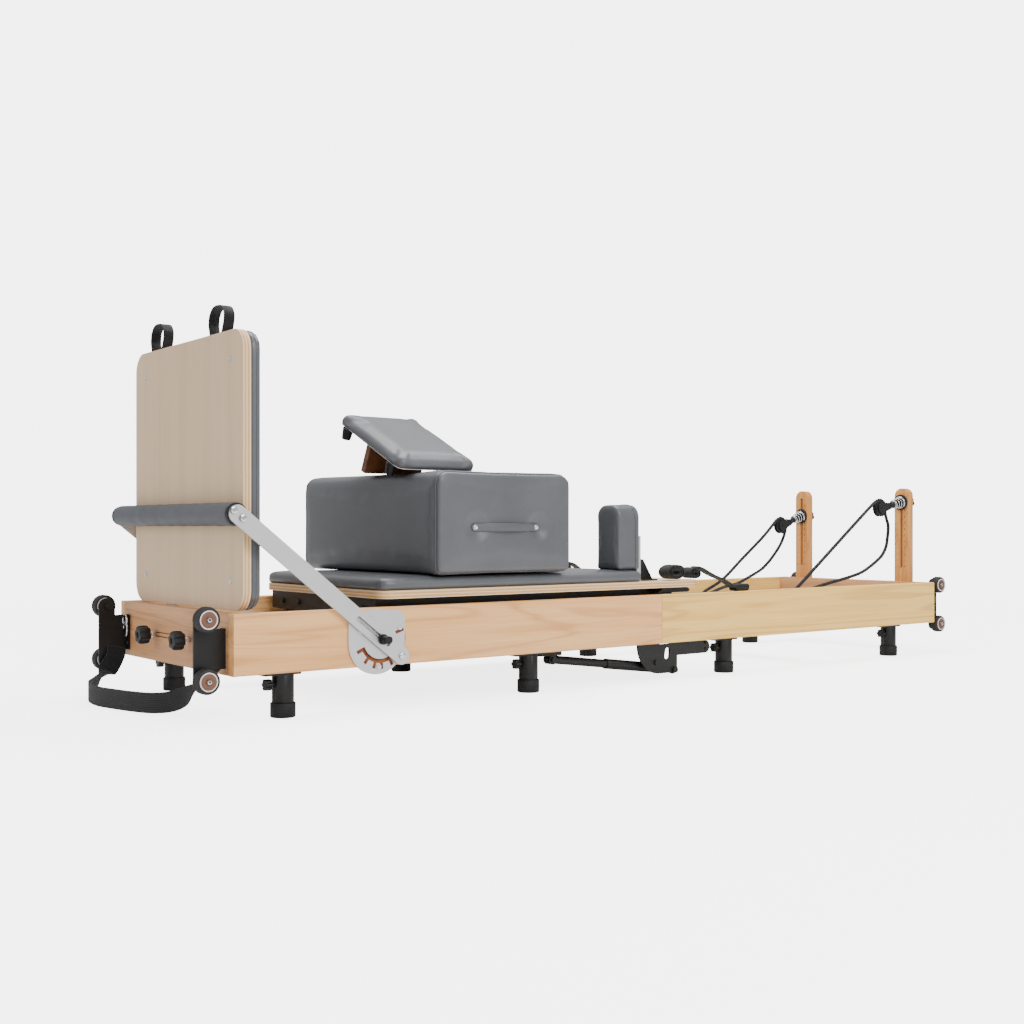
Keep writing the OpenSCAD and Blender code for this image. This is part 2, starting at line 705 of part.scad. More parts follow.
// Hinged prop that stands on the box, square to the base
module head_pad_prop() color("sienna") on_head_pad() {
    translate([prop_x[0], prop_t, -82]) cube([prop_x[1] - prop_x[0], 18, 82 - rest_gap]);
    translate([prop_x[0] + 4, prop_t + 18, -prop_pin]) rod_x(6, prop_x[1] - prop_x[0] - 8);
}

// ---------------------------------------------------------------- ropes and pulleys

module rope(route) color("black")
    swept(route, [rope_d / 2, rope_d / 2], 8, [for (p = route) [0, 1, 0]]);
module rope_near() rope(near_route);
module rope_far() rope(far_route);

// Webbing hand loops rolled up on the carriage, with a grip that rests over the rail
module hand_loops() color("black") both_sides() {
    translate([74, -247, board_top]) rotate([90, 0, 0]) linear_extrude(38)
        translate([0, 22]) rrect(76, 44, 21);
    translate([146, -247, board_top]) rotate([90, 0, 0]) linear_extrude(38)
        translate([0, 18]) rrect(56, 36, 17);
    hull() {
        translate([166, -285, board_top + 20]) cube([4, 34, 5]);
        translate([292, -297, rail_top + 10]) cube([4, 28, 5]);
    }
    translate([290, -300, rail_top + rest_gap]) cube([54, 34, 19]);
}

// Snap hooks at the ends of the ropes
module rope_clips() color("silver") for (y = [-190, -150, 150, 190]) translate([182, y, 196]) {
    rod_x(9, 30);
    rotate([90, 0, 0]) rotate_extrude() translate([8, 0]) circle(d = 4, $fn = 24);
}

// Pulley mount in its riser: bolt, washer, conical spring, eye, and the knob behind
module pulley_mount(side, z, tilt) color("silver") translate([end_x - riser_post[0], side * riser_y, z]) {
    translate([-4, 0, 0]) rod_x(9, riser_post[0] + 8);
    translate([-washer_t, 0, 0]) rod_x(50, washer_t - rest_gap);
    translate([riser_post[0] + rest_gap, 0, 0]) rotate([0, 90, 0]) star_knob(40, 22);
    translate([-4, 0, 0]) rotate([0, -tilt, 0]) {
        translate([-3, 0, 0]) rotate([0, -90, 0]) cylinder(r1 = 20, r2 = 10, h = 37);
        difference() {
            union() {
                translate([-pulley_eye, -3, -6]) cube([pulley_eye - 30, 6, 12]);
                translate([-pulley_eye, -3, 0]) rod_y(17, 6);
            }
            translate([-pulley_eye, -4, 0]) rod_y(axle_d + 2 * run_gap, 8);
        }
    }
}
pulley_eye = 66;
module pulley_mount_near() pulley_mount(-1, pulley_z[0], pulley_tilt[0]);
module pulley_mount_far() pulley_mount(1, pulley_z[1], pulley_tilt[1]);

// Places children at the sheave's centre, -X pointing away from the riser
module at_sheave(side, z, tilt) {
    translate([end_x - riser_post[0] - 4, side * riser_y, z]) rotate([0, -tilt, 0])
        translate([-pulley_reach, 0, 0]) children();
}

// Two cheeks joined by the pin of the sheave and the pin through the eye
module pulley_block(side, z, tilt) color("dimgray") at_sheave(side, z, tilt) {
    eye = pulley_reach - pulley_eye;
    for (y = [8, -11]) slab_xz(y, 3) {
        circle(18);
        translate([eye, 0]) circle(10);
        polygon([[-4, 17.5], [eye + 3, 9.5], [eye + 3, -9.5], [-4, -17.5]]);
    }
    for (x = [0, eye]) translate([x, -12, 0]) rod_y(axle_d, 24);
}
module pulley_block_near() pulley_block(-1, pulley_z[0], pulley_tilt[0]);
module pulley_block_far() pulley_block(1, pulley_z[1], pulley_tilt[1]);

// Grooved wheel
module sheave(side, z, tilt) color("black") at_sheave(side, z, tilt) rotate([90, 0, 0])
    rotate_extrude() polygon([[axle_d / 2 + run_gap, -7], [sheave_r, -7], [sheave_r, -6],
        [sheave_root, -4.5], [sheave_root, 4.5], [sheave_r, 6], [sheave_r, 7],
        [axle_d / 2 + run_gap, 7]]);
module sheave_near() sheave(-1, pulley_z[0], pulley_tilt[0]);
module sheave_far() sheave(1, pulley_z[1], pulley_tilt[1]);

front_rails();
front_cross_boards();
front_tracks();
front_legs();
front_feet();
foot_brackets();
footbar_plates();
fold_hinge_front();
foot_fittings();
pull_strap();
rear_rails();
rear_cross_boards();
rear_tracks();
rear_legs();
rear_feet();
head_brackets();
fold_hinge_rear();
risers();
wheel_foot_near_top();
wheel_foot_near_low();
wheel_foot_far_top();
wheel_foot_far_low();
wheel_head_near_top();
wheel_head_near_low();
wheel_head_far_top();
wheel_head_far_low();
end_knob_near();
end_knob_far();
footbar_arms();
footbar_tube();
footbar_grip();
footbar_pivots();
footbar_springs();
carriage_board();
carriage_pad();
carriage_frame();
rollers_foot();
rollers_head();
shoulder_pads();
shoulder_brackets();
carriage_springs();
jump_board_panel();
jump_board_pad();
jump_board_loops();
jump_board_posts();
box_body();
box_handles();
head_pad_cushion();
head_pad_base();
head_pad_prop();
rope_near();
rope_far();
hand_loops();
rope_clips();
pulley_mount_near();
pulley_mount_far();
pulley_block_near();
pulley_block_far();
sheave_near();
sheave_far();
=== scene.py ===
"""Looks of the folding pilates reformer: materials for the CAD nodes, sewn vinyl pads, webbing,
ropes, coil springs and small hardware, a pale studio and a camera. Metres, in the frame's axes."""
import math

import bpy
import bmesh
import numpy as np
from mathutils import Matrix, Vector
from mathutils.bvhtree import BVHTree


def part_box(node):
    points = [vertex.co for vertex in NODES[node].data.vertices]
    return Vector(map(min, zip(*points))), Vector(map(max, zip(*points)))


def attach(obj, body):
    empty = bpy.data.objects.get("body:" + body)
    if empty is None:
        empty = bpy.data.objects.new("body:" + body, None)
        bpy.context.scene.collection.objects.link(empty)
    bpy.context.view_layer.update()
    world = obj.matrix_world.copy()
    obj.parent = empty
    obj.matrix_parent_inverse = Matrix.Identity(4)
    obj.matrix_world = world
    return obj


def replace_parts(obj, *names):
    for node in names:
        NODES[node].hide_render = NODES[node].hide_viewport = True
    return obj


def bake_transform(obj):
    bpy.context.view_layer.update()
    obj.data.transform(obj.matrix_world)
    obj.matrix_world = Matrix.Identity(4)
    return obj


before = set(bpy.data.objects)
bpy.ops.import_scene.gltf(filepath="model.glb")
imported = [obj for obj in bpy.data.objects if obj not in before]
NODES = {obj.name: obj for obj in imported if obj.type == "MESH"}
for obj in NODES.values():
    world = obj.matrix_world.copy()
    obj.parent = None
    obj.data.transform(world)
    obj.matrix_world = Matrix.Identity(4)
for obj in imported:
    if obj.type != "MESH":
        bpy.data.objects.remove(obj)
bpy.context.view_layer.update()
TAU = 2 * math.pi
SKY_LIGHT = 0.78
BACKDROP = 5.45
FLOOR_GLOW = 3.6
FLOOR_SIZE = 60
CLOTH_FRAMES = 20
X, Y, Z = Vector((1, 0, 0)), Vector((0, 1, 0)), Vector((0, 0, 1))
BAR_PIVOT = Vector((-0.857, 0, 0.152))
BAR_TILT = math.radians(38.4)
BAR_ALONG = Vector((-math.cos(BAR_TILT), 0, math.sin(BAR_TILT)))
BAR_ARM = 0.434
ARM_FACE = 0.318


def measured(node):
    """Lowest corner, highest corner and centre of a CAD node at rest."""
    low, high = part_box(node)
    return low, high, (low + high) / 2


# ------------------------------------------------------------------ mesh helpers

def add_object(name, data):
    obj = bpy.data.objects.new(name, data)
    bpy.context.scene.collection.objects.link(obj)
    return obj


def smooth_object(name, mesh):
    mesh.polygons.foreach_set("use_smooth", [True] * len(mesh.polygons))
    return add_object(name, mesh)


def make_mesh(name, verts, faces):
    mesh = bpy.data.meshes.new(name)
    mesh.from_pydata([tuple(v) for v in verts], [], faces)
    mesh.validate()
    return smooth_object(name, mesh)


def from_bmesh(name, bm):
    bmesh.ops.recalc_face_normals(bm, faces=bm.faces)
    mesh = bpy.data.meshes.new(name)
    bm.to_mesh(mesh)
    bm.free()
    return smooth_object(name, mesh)


def select_only(obj):
    bpy.ops.object.select_all(action="DESELECT")
    bpy.context.view_layer.objects.active = obj
    obj.select_set(True)


def apply_modifiers(obj):
    select_only(obj)
    for mod in list(obj.modifiers):
        bpy.ops.object.modifier_apply(modifier=mod.name)


def join(name, parts):
    """One object out of several; each keeps its own material."""
    select_only(parts[0])
    for part in parts[1:]:
        part.select_set(True)
    bpy.ops.object.join()
    parts[0].name = name
    return parts[0]


def shade_by_angle(obj, degrees):
    select_only(obj)
    bpy.ops.object.shade_smooth_by_angle(angle=math.radians(degrees))
    return obj


def spokes(axis, n):
    """n unit vectors evenly round an axis."""
    side = axis.orthogonal().normalized()
    up = axis.cross(side)
    return [side * math.cos(TAU * k / n) + up * math.sin(TAU * k / n) for k in range(n)]


def skin(name, verts, n):
    """Closed mesh over rings of n points, with both ends capped."""
    last = len(verts) - n
    faces = [(i + k, i + (k + 1) % n, i + n + (k + 1) % n, i + n + k)
             for i in range(0, last, n) for k in range(n)]
    faces += [tuple(reversed(range(n))), tuple(range(last, last + n))]
    return make_mesh(name, verts, faces)


def frames_along(points, ref):
    """Tangent, side and normal at each point, from one reference direction."""
    out = []
    last = len(points) - 1
    for i in range(last + 1):
        t = (points[min(i + 1, last)] - points[max(i - 1, 0)]).normalized()
        w = ref[i] if isinstance(ref, list) else ref
        w = (w - t * w.dot(t)).normalized()
        out.append((t, w, t.cross(w)))
    return out


def sweep(name, points, outline, ref=Y, closed=False, uv=False):
    """Sweeps a closed outline of (along ref, across) offsets along points. UV is length, turn."""
    pts = [Vector(p) for p in points]
    n, rows = len(outline), len(pts)
    verts = [p + w * a + s * b for p, (_, w, s) in zip(pts, frames_along(pts, ref))
             for a, b in outline]
    faces = []
    for i in range(rows if closed else rows - 1):
        j = (i + 1) % rows
        faces += [(i * n + k, j * n + k, j * n + (k + 1) % n, i * n + (k + 1) % n)
                  for k in range(n)]
    if not closed:
        faces += [tuple(range(n)), tuple(range(rows * n - 1, (rows - 1) * n - 1, -1))]
    obj = make_mesh(name, verts, faces)
    if uv:
        length = [0.0]
        for a, b in zip(pts, pts[1:]):
            length.append(length[-1] + (b - a).length)
        layer = obj.data.uv_layers.new(name="along")
        for poly in obj.data.polygons:
            corners = [(c, obj.data.loops[c].vertex_index) for c in poly.loop_indices]
            seam = any(v % n == n - 1 for _, v in corners)
            for corner, v in corners:
                turn = 1.0 if seam and v % n == 0 else v % n / n
                layer.data[corner].uv = (length[v // n], turn)
    select_only(obj)
    bpy.ops.object.mode_set(mode="EDIT")
    bpy.ops.mesh.select_all(action="SELECT")
    bpy.ops.mesh.normals_make_consistent(inside=False)
    bpy.ops.object.mode_set(mode="OBJECT")
    return obj


def circle_outline(r, n):
    return [(r * math.cos(TAU * k / n), r * math.sin(TAU * k / n)) for k in range(n)]


def band_outline(half_w, half_t, n=5):
    """Flat band with rounded edges: half_w along ref, half_t across."""
    return [(side * (half_w - half_t) + half_t * math.cos(a), half_t * math.sin(a))
            for side, start in ((1, -math.pi / 2), (-1, math.pi / 2))
            for a in (start + math.pi * k / n for k in range(n + 1))]


def smooth_path(points, steps):
    """Catmull-Rom curve through given points."""
    pts = [Vector(p) for p in points]
    ext = [pts[0] * 2 - pts[1]] + pts + [pts[-1] * 2 - pts[-2]]
    out = []
    for i in range(1, len(ext) - 2):
        p0, p1, p2, p3 = ext[i - 1:i + 3]
        for k in range(steps):
            t = k / steps
            out.append(0.5 * ((2 * p1) + (p2 - p0) * t + (2 * p0 - 5 * p1 + 4 * p2 - p3) * t * t
                              + (3 * p1 - p0 - 3 * p2 + p3) * t ** 3))
    return out + [pts[-1]]


def path_length(points):
    return sum((b - a).length for a, b in zip(points, points[1:]))


def lathe(name, profile, centre, axis, n):
    """Turns a profile of (radius, along) points round an axis through centre."""
    axis = Vector(axis).normalized()
    m = len(profile)
    bm = bmesh.new()
    verts = [bm.verts.new(Vector(centre) + d * r + axis * h)
             for d in spokes(axis, n) for r, h in profile]
    for k in range(n):
        here, there = k * m, (k + 1) % n * m
        for i in range(m - 1):
            bm.faces.new([verts[q] for q in (here + i, here + i + 1, there + i + 1, there + i)])
    bmesh.ops.remove_doubles(bm, verts=bm.verts, dist=1e-6)
    return shade_by_angle(from_bmesh(name, bm), 40)


def rounded_box(name, low, high, radius):
    """Box with rounded edges."""
    bm = bmesh.new()
    bmesh.ops.create_cube(bm, size=1)
    for v in bm.verts:
        v.co = Vector(low[i] if v.co[i] < 0 else high[i] for i in range(3))
    bmesh.ops.bevel(bm, geom=bm.edges[:], offset=radius, segments=4, profile=0.5,
                    affect="EDGES")
    return shade_by_angle(from_bmesh(name, bm), 40)


# ------------------------------------------------------------------ camera, light and floor

def build_camera():
    """Level camera 0.4 m over the floor, off the near side of the foot end, shifted slightly."""
    data = bpy.data.cameras.new("camera")
    data.sensor_width = 36
    data.lens = 44.83
    data.shift_y = 0.0142
    data.clip_end = 50
    cam = add_object("camera", data)
    cam.location = (-2.3311, -2.672, 0.3964)
    cam.rotation_euler = (math.pi / 2, 0, -0.6605)
    bpy.context.scene.camera = cam


def area_light(name, place, target, size, power):
    data = bpy.data.lights.new(name, "AREA")
    data.shape = "RECTANGLE"
    data.size, data.size_y = size
    data.energy = power
    lamp = add_object(name, data)
    lamp.location = place
    lamp.rotation_euler = (Vector(target) - Vector(place)).to_track_quat("-Z", "Y").to_euler()


def build_studio():
    """Even sky, a backdrop that only the camera sees, a key over the near side, a top light and
    a weak fill from the foot end."""
    world = bpy.data.worlds.new("studio")
    bpy.context.scene.world = world
    world.use_nodes = True
    tree = world.node_tree
    sky = tree.nodes["Background"]
    sky.inputs["Color"].default_value = (1, 1, 1, 1)
    sky.inputs["Strength"].default_value = SKY_LIGHT
    backdrop = tree.nodes.new("ShaderNodeBackground")
    backdrop.inputs["Color"].default_value = (1, 1, 1, 1)
    backdrop.inputs["Strength"].default_value = BACKDROP
    rays = tree.nodes.new("ShaderNodeLightPath")
    blend = tree.nodes.new("ShaderNodeMixShader")
    tree.links.new(rays.outputs["Is Camera Ray"], blend.inputs[0])
    tree.links.new(sky.outputs[0], blend.inputs[1])
    tree.links.new(backdrop.outputs[0], blend.inputs[2])
    tree.links.new(blend.outputs[0], tree.nodes["World Output"].inputs["Surface"])
    area_light("key", (-0.6, -3.8, 2.7), (0.0, 0, 0.25), (3.0, 1.8), 150)
    area_light("top", (0.2, 0.4, 3.4), (0, 0, 0), (3.2, 1.8), 165)
    area_light("fill", (-4.8, 0.8, 1.5), (-0.6, 0, 0.3), (2.2, 1.8), 34)
    bpy.ops.mesh.primitive_plane_add(size=1)
    floor = bpy.context.object
    floor.name = "floor"
    floor.scale = (FLOOR_SIZE, FLOOR_SIZE, 1)
    floor.location = (0, 0, -0.0005)
    floor.data.materials.append(plain_floor())


# ------------------------------------------------------------------ materials

def linear(r, g, b):
    """Colour given as 0 to 255 display values, as the shader's linear values."""
    return tuple(((c / 255 + 0.055) / 1.055) ** 2.4 if c > 10 else c / 255 / 12.92
                 for c in (r, g, b)) + (1,)


class Shader:
    """Node tree with short calls for the few nodes that these materials share."""

    def __init__(self, name, roughness=0.5, metallic=0.0, **sockets):
        self.mat = bpy.data.materials.new(name)
        self.mat.use_nodes = True
        self.tree = self.mat.node_tree
        self.bsdf = self.tree.nodes["Principled BSDF"]
        self.bsdf.inputs["Roughness"].default_value = roughness
        self.bsdf.inputs["Metallic"].default_value = metallic
        for key, value in sockets.items():
            self.bsdf.inputs[key.replace("_", " ")].default_value = value
        self.coords = self.node("ShaderNodeTexCoord")

    def node(self, kind, **props):
        made = self.tree.nodes.new(kind)
        for key, value in props.items():
            setattr(made, key, value)
        return made

    def link(self, a, b):
        self.tree.links.new(a, b)

    def mapped(self, scale=(1, 1, 1)):
        m = self.node("ShaderNodeMapping")
        m.inputs["Scale"].default_value = scale
        self.link(self.coords.outputs["Object"], m.inputs["Vector"])
        return m.outputs["Vector"]

    def noise(self, vector, scale, detail=4, rough=0.55, distort=0.0):
        n = self.node("ShaderNodeTexNoise")
        self.link(vector, n.inputs["Vector"])
        n.inputs["Scale"].default_value = scale
        n.inputs["Detail"].default_value = detail
        n.inputs["Roughness"].default_value = rough
        n.inputs["Distortion"].default_value = distort
        return n.outputs["Fac"]

    def math(self, op, a, b=None, clamp=False):
        n = self.node("ShaderNodeMath", operation=op, use_clamp=clamp)
        for slot, value in ((0, a), (1, b)):
            if value is None:
                continue
            if isinstance(value, (int, float)):
                n.inputs[slot].default_value = value
            else:
                self.link(value, n.inputs[slot])
        return n.outputs[0]

    def above(self, value, floor, gain):
        """How far value is over floor, times gain; 0 below it."""
        return self.math("MULTIPLY", self.math("SUBTRACT", value, floor, True), gain)

    def cells(self, vector, scale, feature):
        n = self.node("ShaderNodeTexVoronoi", feature=feature)
        self.link(vector, n.inputs["Vector"])
        n.inputs["Scale"].default_value = scale
        return n.outputs["Distance"]

    def axis(self, vector, index):
        n = self.node("ShaderNodeSeparateXYZ")
        self.link(vector, n.inputs[0])
        return n.outputs[index]

    def ramp(self, fac, stops):
        n = self.node("ShaderNodeValToRGB")
        self.link(fac, n.inputs["Fac"])
        marks = n.color_ramp.elements
        while len(marks) < len(stops):
            marks.new(0.5)
        for mark, (at, colour) in zip(marks, stops):
            mark.position = at
            mark.color = colour
        return n.outputs["Color"]

    def mix(self, fac, a, b):
        n = self.node("ShaderNodeMix", data_type="RGBA")
        for index, value in ((0, fac), (6, a), (7, b)):
            if isinstance(value, (int, float, tuple)):
                n.inputs[index].default_value = value
            else:
                self.link(value, n.inputs[index])
        return n.outputs[2]

    def colour(self, value):
        self.link(value, self.bsdf.inputs["Base Color"])

    def rough(self, fac, low, high):
        n = self.node("ShaderNodeMapRange")
        self.link(fac, n.inputs["Value"])
        n.inputs["To Min"].default_value = low
        n.inputs["To Max"].default_value = high
        self.link(n.outputs["Result"], self.bsdf.inputs["Roughness"])

    def bump(self, *layers):
        """layers: (height, distance in metres), each on top of the last."""
        last = None
        for height, distance in layers:
            n = self.node("ShaderNodeBump")
            n.inputs["Distance"].default_value = distance
            self.link(height, n.inputs["Height"])
            if last:
                self.link(last, n.inputs["Normal"])
            last = n.outputs["Normal"]
        self.link(last, self.bsdf.inputs["Normal"])


def plain_floor():
    """Matt white floor that reads as the same tone as the backdrop, with only soft shadows."""
    s = Shader("studio_floor", roughness=0.9, Specular_IOR_Level=0.0)
    s.colour(s.ramp(s.noise(s.mapped(), 3), [(0, linear(236, 236, 236)),
                                                      (1, linear(240, 240, 240))]))
    rays = s.node("ShaderNodeLightPath")
    away = s.node("ShaderNodeVectorMath")
    away.operation = "LENGTH"
    s.link(s.coords.outputs["Object"], away.inputs[0])
    metres_out = s.math("MULTIPLY", away.outputs["Value"], FLOOR_SIZE)
    fade = s.math("MULTIPLY", s.math("SUBTRACT", metres_out, 1.5), 0.25, True)
    glow = s.math("ADD", s.math("MULTIPLY", fade, 1.15), FLOOR_GLOW)
    glow = s.math("MULTIPLY", rays.outputs["Is Camera Ray"], glow)
    s.link(glow, s.bsdf.inputs["Emission Strength"])
    s.bsdf.inputs["Emission Color"].default_value = (1, 1, 1, 1)
    return s.mat


def grain_scale(grain, along, across):
    return tuple(along if i == grain else across for i in range(3))


def shade(tone, factor, lift=0):
    """A tone made darker or paler."""
    return tuple(min(1, c * factor + lift) for c in tone[:3]) + (1,)


def wood(name, grain, tones, ring=9.0):
    """Sawn, clear-coated softwood: slow rings bent by noise, fine fibres and faint blotches."""
    s = Shader(name, Specular_IOR_Level=0.35)
    slow = s.mapped(grain_scale(grain, 0.5, 8))
    warp = s.noise(slow, 1.5, 2, 0.45, 0.5)
    wave = s.math("SINE", s.math("MULTIPLY", warp, ring * TAU))
    rings = s.math("POWER", s.math("MULTIPLY", s.math("ADD", wave, 1.0), 0.5), 5.0)
    fibre = s.noise(s.mapped(grain_scale(grain, 5, 420)), 1.0, 5, 0.65)
    streak = s.noise(s.mapped(grain_scale(grain, 1.3, 42)), 1.0, 4, 0.6)
    blotch = s.noise(s.mapped(grain_scale(grain, 1.2, 5)), 1.0, 2)
    light, mid, dark = tones
    base = s.ramp(streak, [(0.30, mid), (0.62, light)])
    base = s.mix(s.math("MULTIPLY", rings, 0.34), base, dark)
    base = s.mix(s.above(fibre, 0.42, 0.85), base, dark)
    base = s.mix(s.above(blotch, 0.5, 0.9), base, mid)
    s.colour(base)
    s.rough(fibre, 0.38, 0.55)
    s.bump((fibre, 0.00012), (rings, 0.00005))
    return s.mat


def plywood(name, layer_axis, grain, plies, tones, thickness, start):
    """Birch plywood: veneer on the faces square to layer_axis, alternating plies on the edges."""
    s = Shader(name, roughness=0.5, Specular_IOR_Level=0.3)
    light, mid, dark = tones
    flow = s.noise(s.mapped(grain_scale(grain, 1.1, 16)), 1.0, 4, 0.6, 0.4)
    fibre = s.noise(s.mapped(grain_scale(grain, 6, 380)), 1.0, 4, 0.6)
    face = s.ramp(flow, [(0.32, mid), (0.66, light)])
    face = s.mix(s.above(fibre, 0.45, 0.6), face, dark)
    place = s.axis(s.coords.outputs["Object"], layer_axis)
    wobble = s.math("MULTIPLY", s.noise(s.mapped((9, 9, 9)), 1.0, 2), 0.1)
    step = s.math("MULTIPLY", s.math("SUBTRACT", place, start), plies / thickness / 2)
    band = s.math("FRACT", s.math("ADD", step, wobble))
    speck = s.noise(s.mapped((70, 70, 700)), 1.0, 3, 0.7)
    edge = s.ramp(band, [(0.0, linear(176, 128, 84)), (0.07, linear(236, 208, 166)),
                         (0.46, linear(226, 192, 146)), (0.52, linear(150, 96, 54)),
                         (0.60, linear(206, 160, 108)), (0.94, linear(214, 170, 118)),
                         (1.0, linear(150, 100, 60))])
    edge = s.mix(s.above(speck, 0.55, 1.6), edge,
                 linear(122, 80, 48))
    facing = s.math("ABSOLUTE", s.axis(s.coords.outputs["Normal"], layer_axis))
    s.colour(s.mix(s.math("GREATER_THAN", facing, 0.6), edge, face))
    s.rough(fibre, 0.42, 0.6)
    s.bump((fibre, 0.0001), (band, 0.00012))
    return s.mat


def vinyl(name, tone, grain=620, depth=0.00022):
    """Upholstery vinyl: pebbled grain, a soft sheen, and slight clouding."""
    s = Shader(name, Specular_IOR_Level=0.5, Coat_Weight=0.1, Coat_Roughness=0.3)
    where = s.mapped()
    pebble = s.cells(where, grain, "SMOOTH_F1")
    cloud = s.noise(where, 7, 3)
    fine = s.noise(where, 1500, 2)
    dark = shade(tone, 0.9)
    base = s.ramp(cloud, [(0.35, dark), (0.65, shade(tone, 1.06))])
    s.colour(s.mix(s.math("MULTIPLY", pebble, 0.35), base, dark))
    s.rough(cloud, 0.36, 0.47)
    s.bump((pebble, depth), (fine, 0.00006))
    return s.mat


def painted_steel(name, tone, rough=(0.36, 0.5), grain=1400):
    """Powder coat: fine orange peel, dust a touch paler."""
    s = Shader(name, Specular_IOR_Level=0.35)
    where = s.mapped()
    peel = s.noise(where, grain, 2)
    dust = s.noise(where, 18, 5, 0.65)
    s.colour(s.ramp(dust, [(0.45, tone), (0.85, shade(tone, 1.5, 0.004))]))
    s.rough(dust, *rough)
    s.bump((peel, 0.00008))
    return s.mat


def brushed_metal(name, tone, along, rough, metallic=1.0):
    """Brushed or drawn metal with fine lines along one axis."""
    s = Shader(name, metallic=metallic)
    lines = s.noise(s.mapped(grain_scale(along, 8, 1600)), 1.0, 3, 0.6)
    smudge = s.noise(s.mapped(), 14, 4)
    s.colour(s.mix(s.math("MULTIPLY", smudge, 0.5), tone, shade(tone, 0.8)))
    s.rough(lines, *rough)
    s.bump((lines, 0.00004))
    return s.mat


def shoulder_steel(name, split):
    """Satin plate up to x = split, black painted gusset beyond it."""
    s = Shader(name, roughness=0.42)
    where = s.mapped()
    lines = s.noise(s.mapped(grain_scale(2, 8, 900)), 1.0, 3, 0.6)
    past = s.math("GREATER_THAN", s.axis(s.coords.outputs["Object"], 0), split)
    silver = s.mix(s.math("MULTIPLY", lines, 0.6), linear(208, 208, 210), linear(168, 168, 172))
    s.colour(s.mix(past, silver, BLACK))
    s.link(s.math("MULTIPLY", s.math("SUBTRACT", 1.0, past), 0.75), s.bsdf.inputs["Metallic"])
    s.bump((s.noise(where, 1400, 2), 0.00006))
    return s.mat


def rubber(name, tone=linear(17, 17, 18)):
    s = Shader(name, Specular_IOR_Level=0.35)
    where = s.mapped()
    grain = s.noise(where, 900, 3)
    dust = s.noise(where, 40, 4)
    s.colour(s.ramp(dust, [(0.4, tone), (0.9, shade(tone, 1.9))]))
    s.rough(grain, 0.55, 0.75)
    s.bump((grain, 0.00012))
    return s.mat


def foam(name, tone):
    """Closed-cell foam sleeve: tiny pits and a matt face."""
    s = Shader(name, Specular_IOR_Level=0.3)
    where = s.mapped()
    pits = s.cells(where, 700, "F1")
    cloud = s.noise(where, 25, 4)
    s.colour(s.mix(s.math("MULTIPLY", cloud, 0.7), tone, shade(tone, 0.75)))
    s.rough(cloud, 0.5, 0.68)
    s.bump((pits, 0.0003))
    return s.mat


def woven(name, tone, ribs, across):
    """Webbing or braid on a swept band: ribs along its length and threads across, from its UV."""
    s = Shader(name, Specular_IOR_Level=0.25, Sheen_Weight=0.15)
    uv = s.coords.outputs["UV"]
    u, v = s.axis(uv, 0), s.axis(uv, 1)
    rib = s.math("SINE", s.math("MULTIPLY", u, ribs * TAU))
    thread = s.math("SINE", s.math("MULTIPLY", v, across * TAU))
    weave = s.math("MULTIPLY", rib, thread)
    fuzz = s.noise(s.mapped(), 900, 3)
    s.colour(s.mix(s.math("MULTIPLY", s.math("ADD", weave, 1), 0.2), tone,
                   shade(tone, 2, 0.003)))
    s.rough(fuzz, 0.62, 0.85)
    s.bump((weave, 0.0004), (fuzz, 0.0001))
    return s.mat


# ------------------------------------------------------------------ padded pieces

def rounded_outline(width, height, radii, inset=0.0):
    """Rectangle centred on the origin with its four corners rounded; radii go round from -x -y."""
    out, n = [], 7
    for k, (sx, sy) in enumerate(((-1, -1), (1, -1), (1, 1), (-1, 1))):
        r = max(radii[k] - inset, 0.002)
        cx, cy = sx * (width / 2 - inset - r), sy * (height / 2 - inset - r)
        start = math.pi + k * math.pi / 2
        out += [(cx + r * math.cos(start + math.pi / 2 * i / n),
                 cy + r * math.sin(start + math.pi / 2 * i / n)) for i in range(n + 1)]
    return out


def pad_form(name, width, height, thick, radii, rim_low, rim_top):
    """Closed pad on the XY plane: rounded outline, rims rounded by rim_low and rim_top."""
    levels = [(rim_low * (1 - math.sin(a)), rim_low * (1 - math.cos(a)))
              for a in (math.pi / 2 * k / 4 for k in range(5))]
    levels += [(rim_top * (1 - math.cos(a)), thick - rim_top * (1 - math.sin(a)))
               for a in (math.pi / 2 * k / 5 for k in range(6))]
    rings = [[(x, y, z) for x, y in rounded_outline(width, height, radii, inset)]
             for inset, z in levels]
    return skin(name, [v for ring in rings for v in ring], len(rings[0]))


def point_array(obj):
    flat = np.empty(len(obj.data.vertices) * 3)
    obj.data.vertices.foreach_get("co", flat)
    return flat.reshape(-1, 3)


def set_points(obj, points):
    obj.data.vertices.foreach_set("co", points.ravel())
    obj.data.update()


def smoothing(obj, rounds):
    ease = obj.modifiers.new("ease", "SMOOTH")
    ease.factor = 0.5
    ease.iterations = rounds


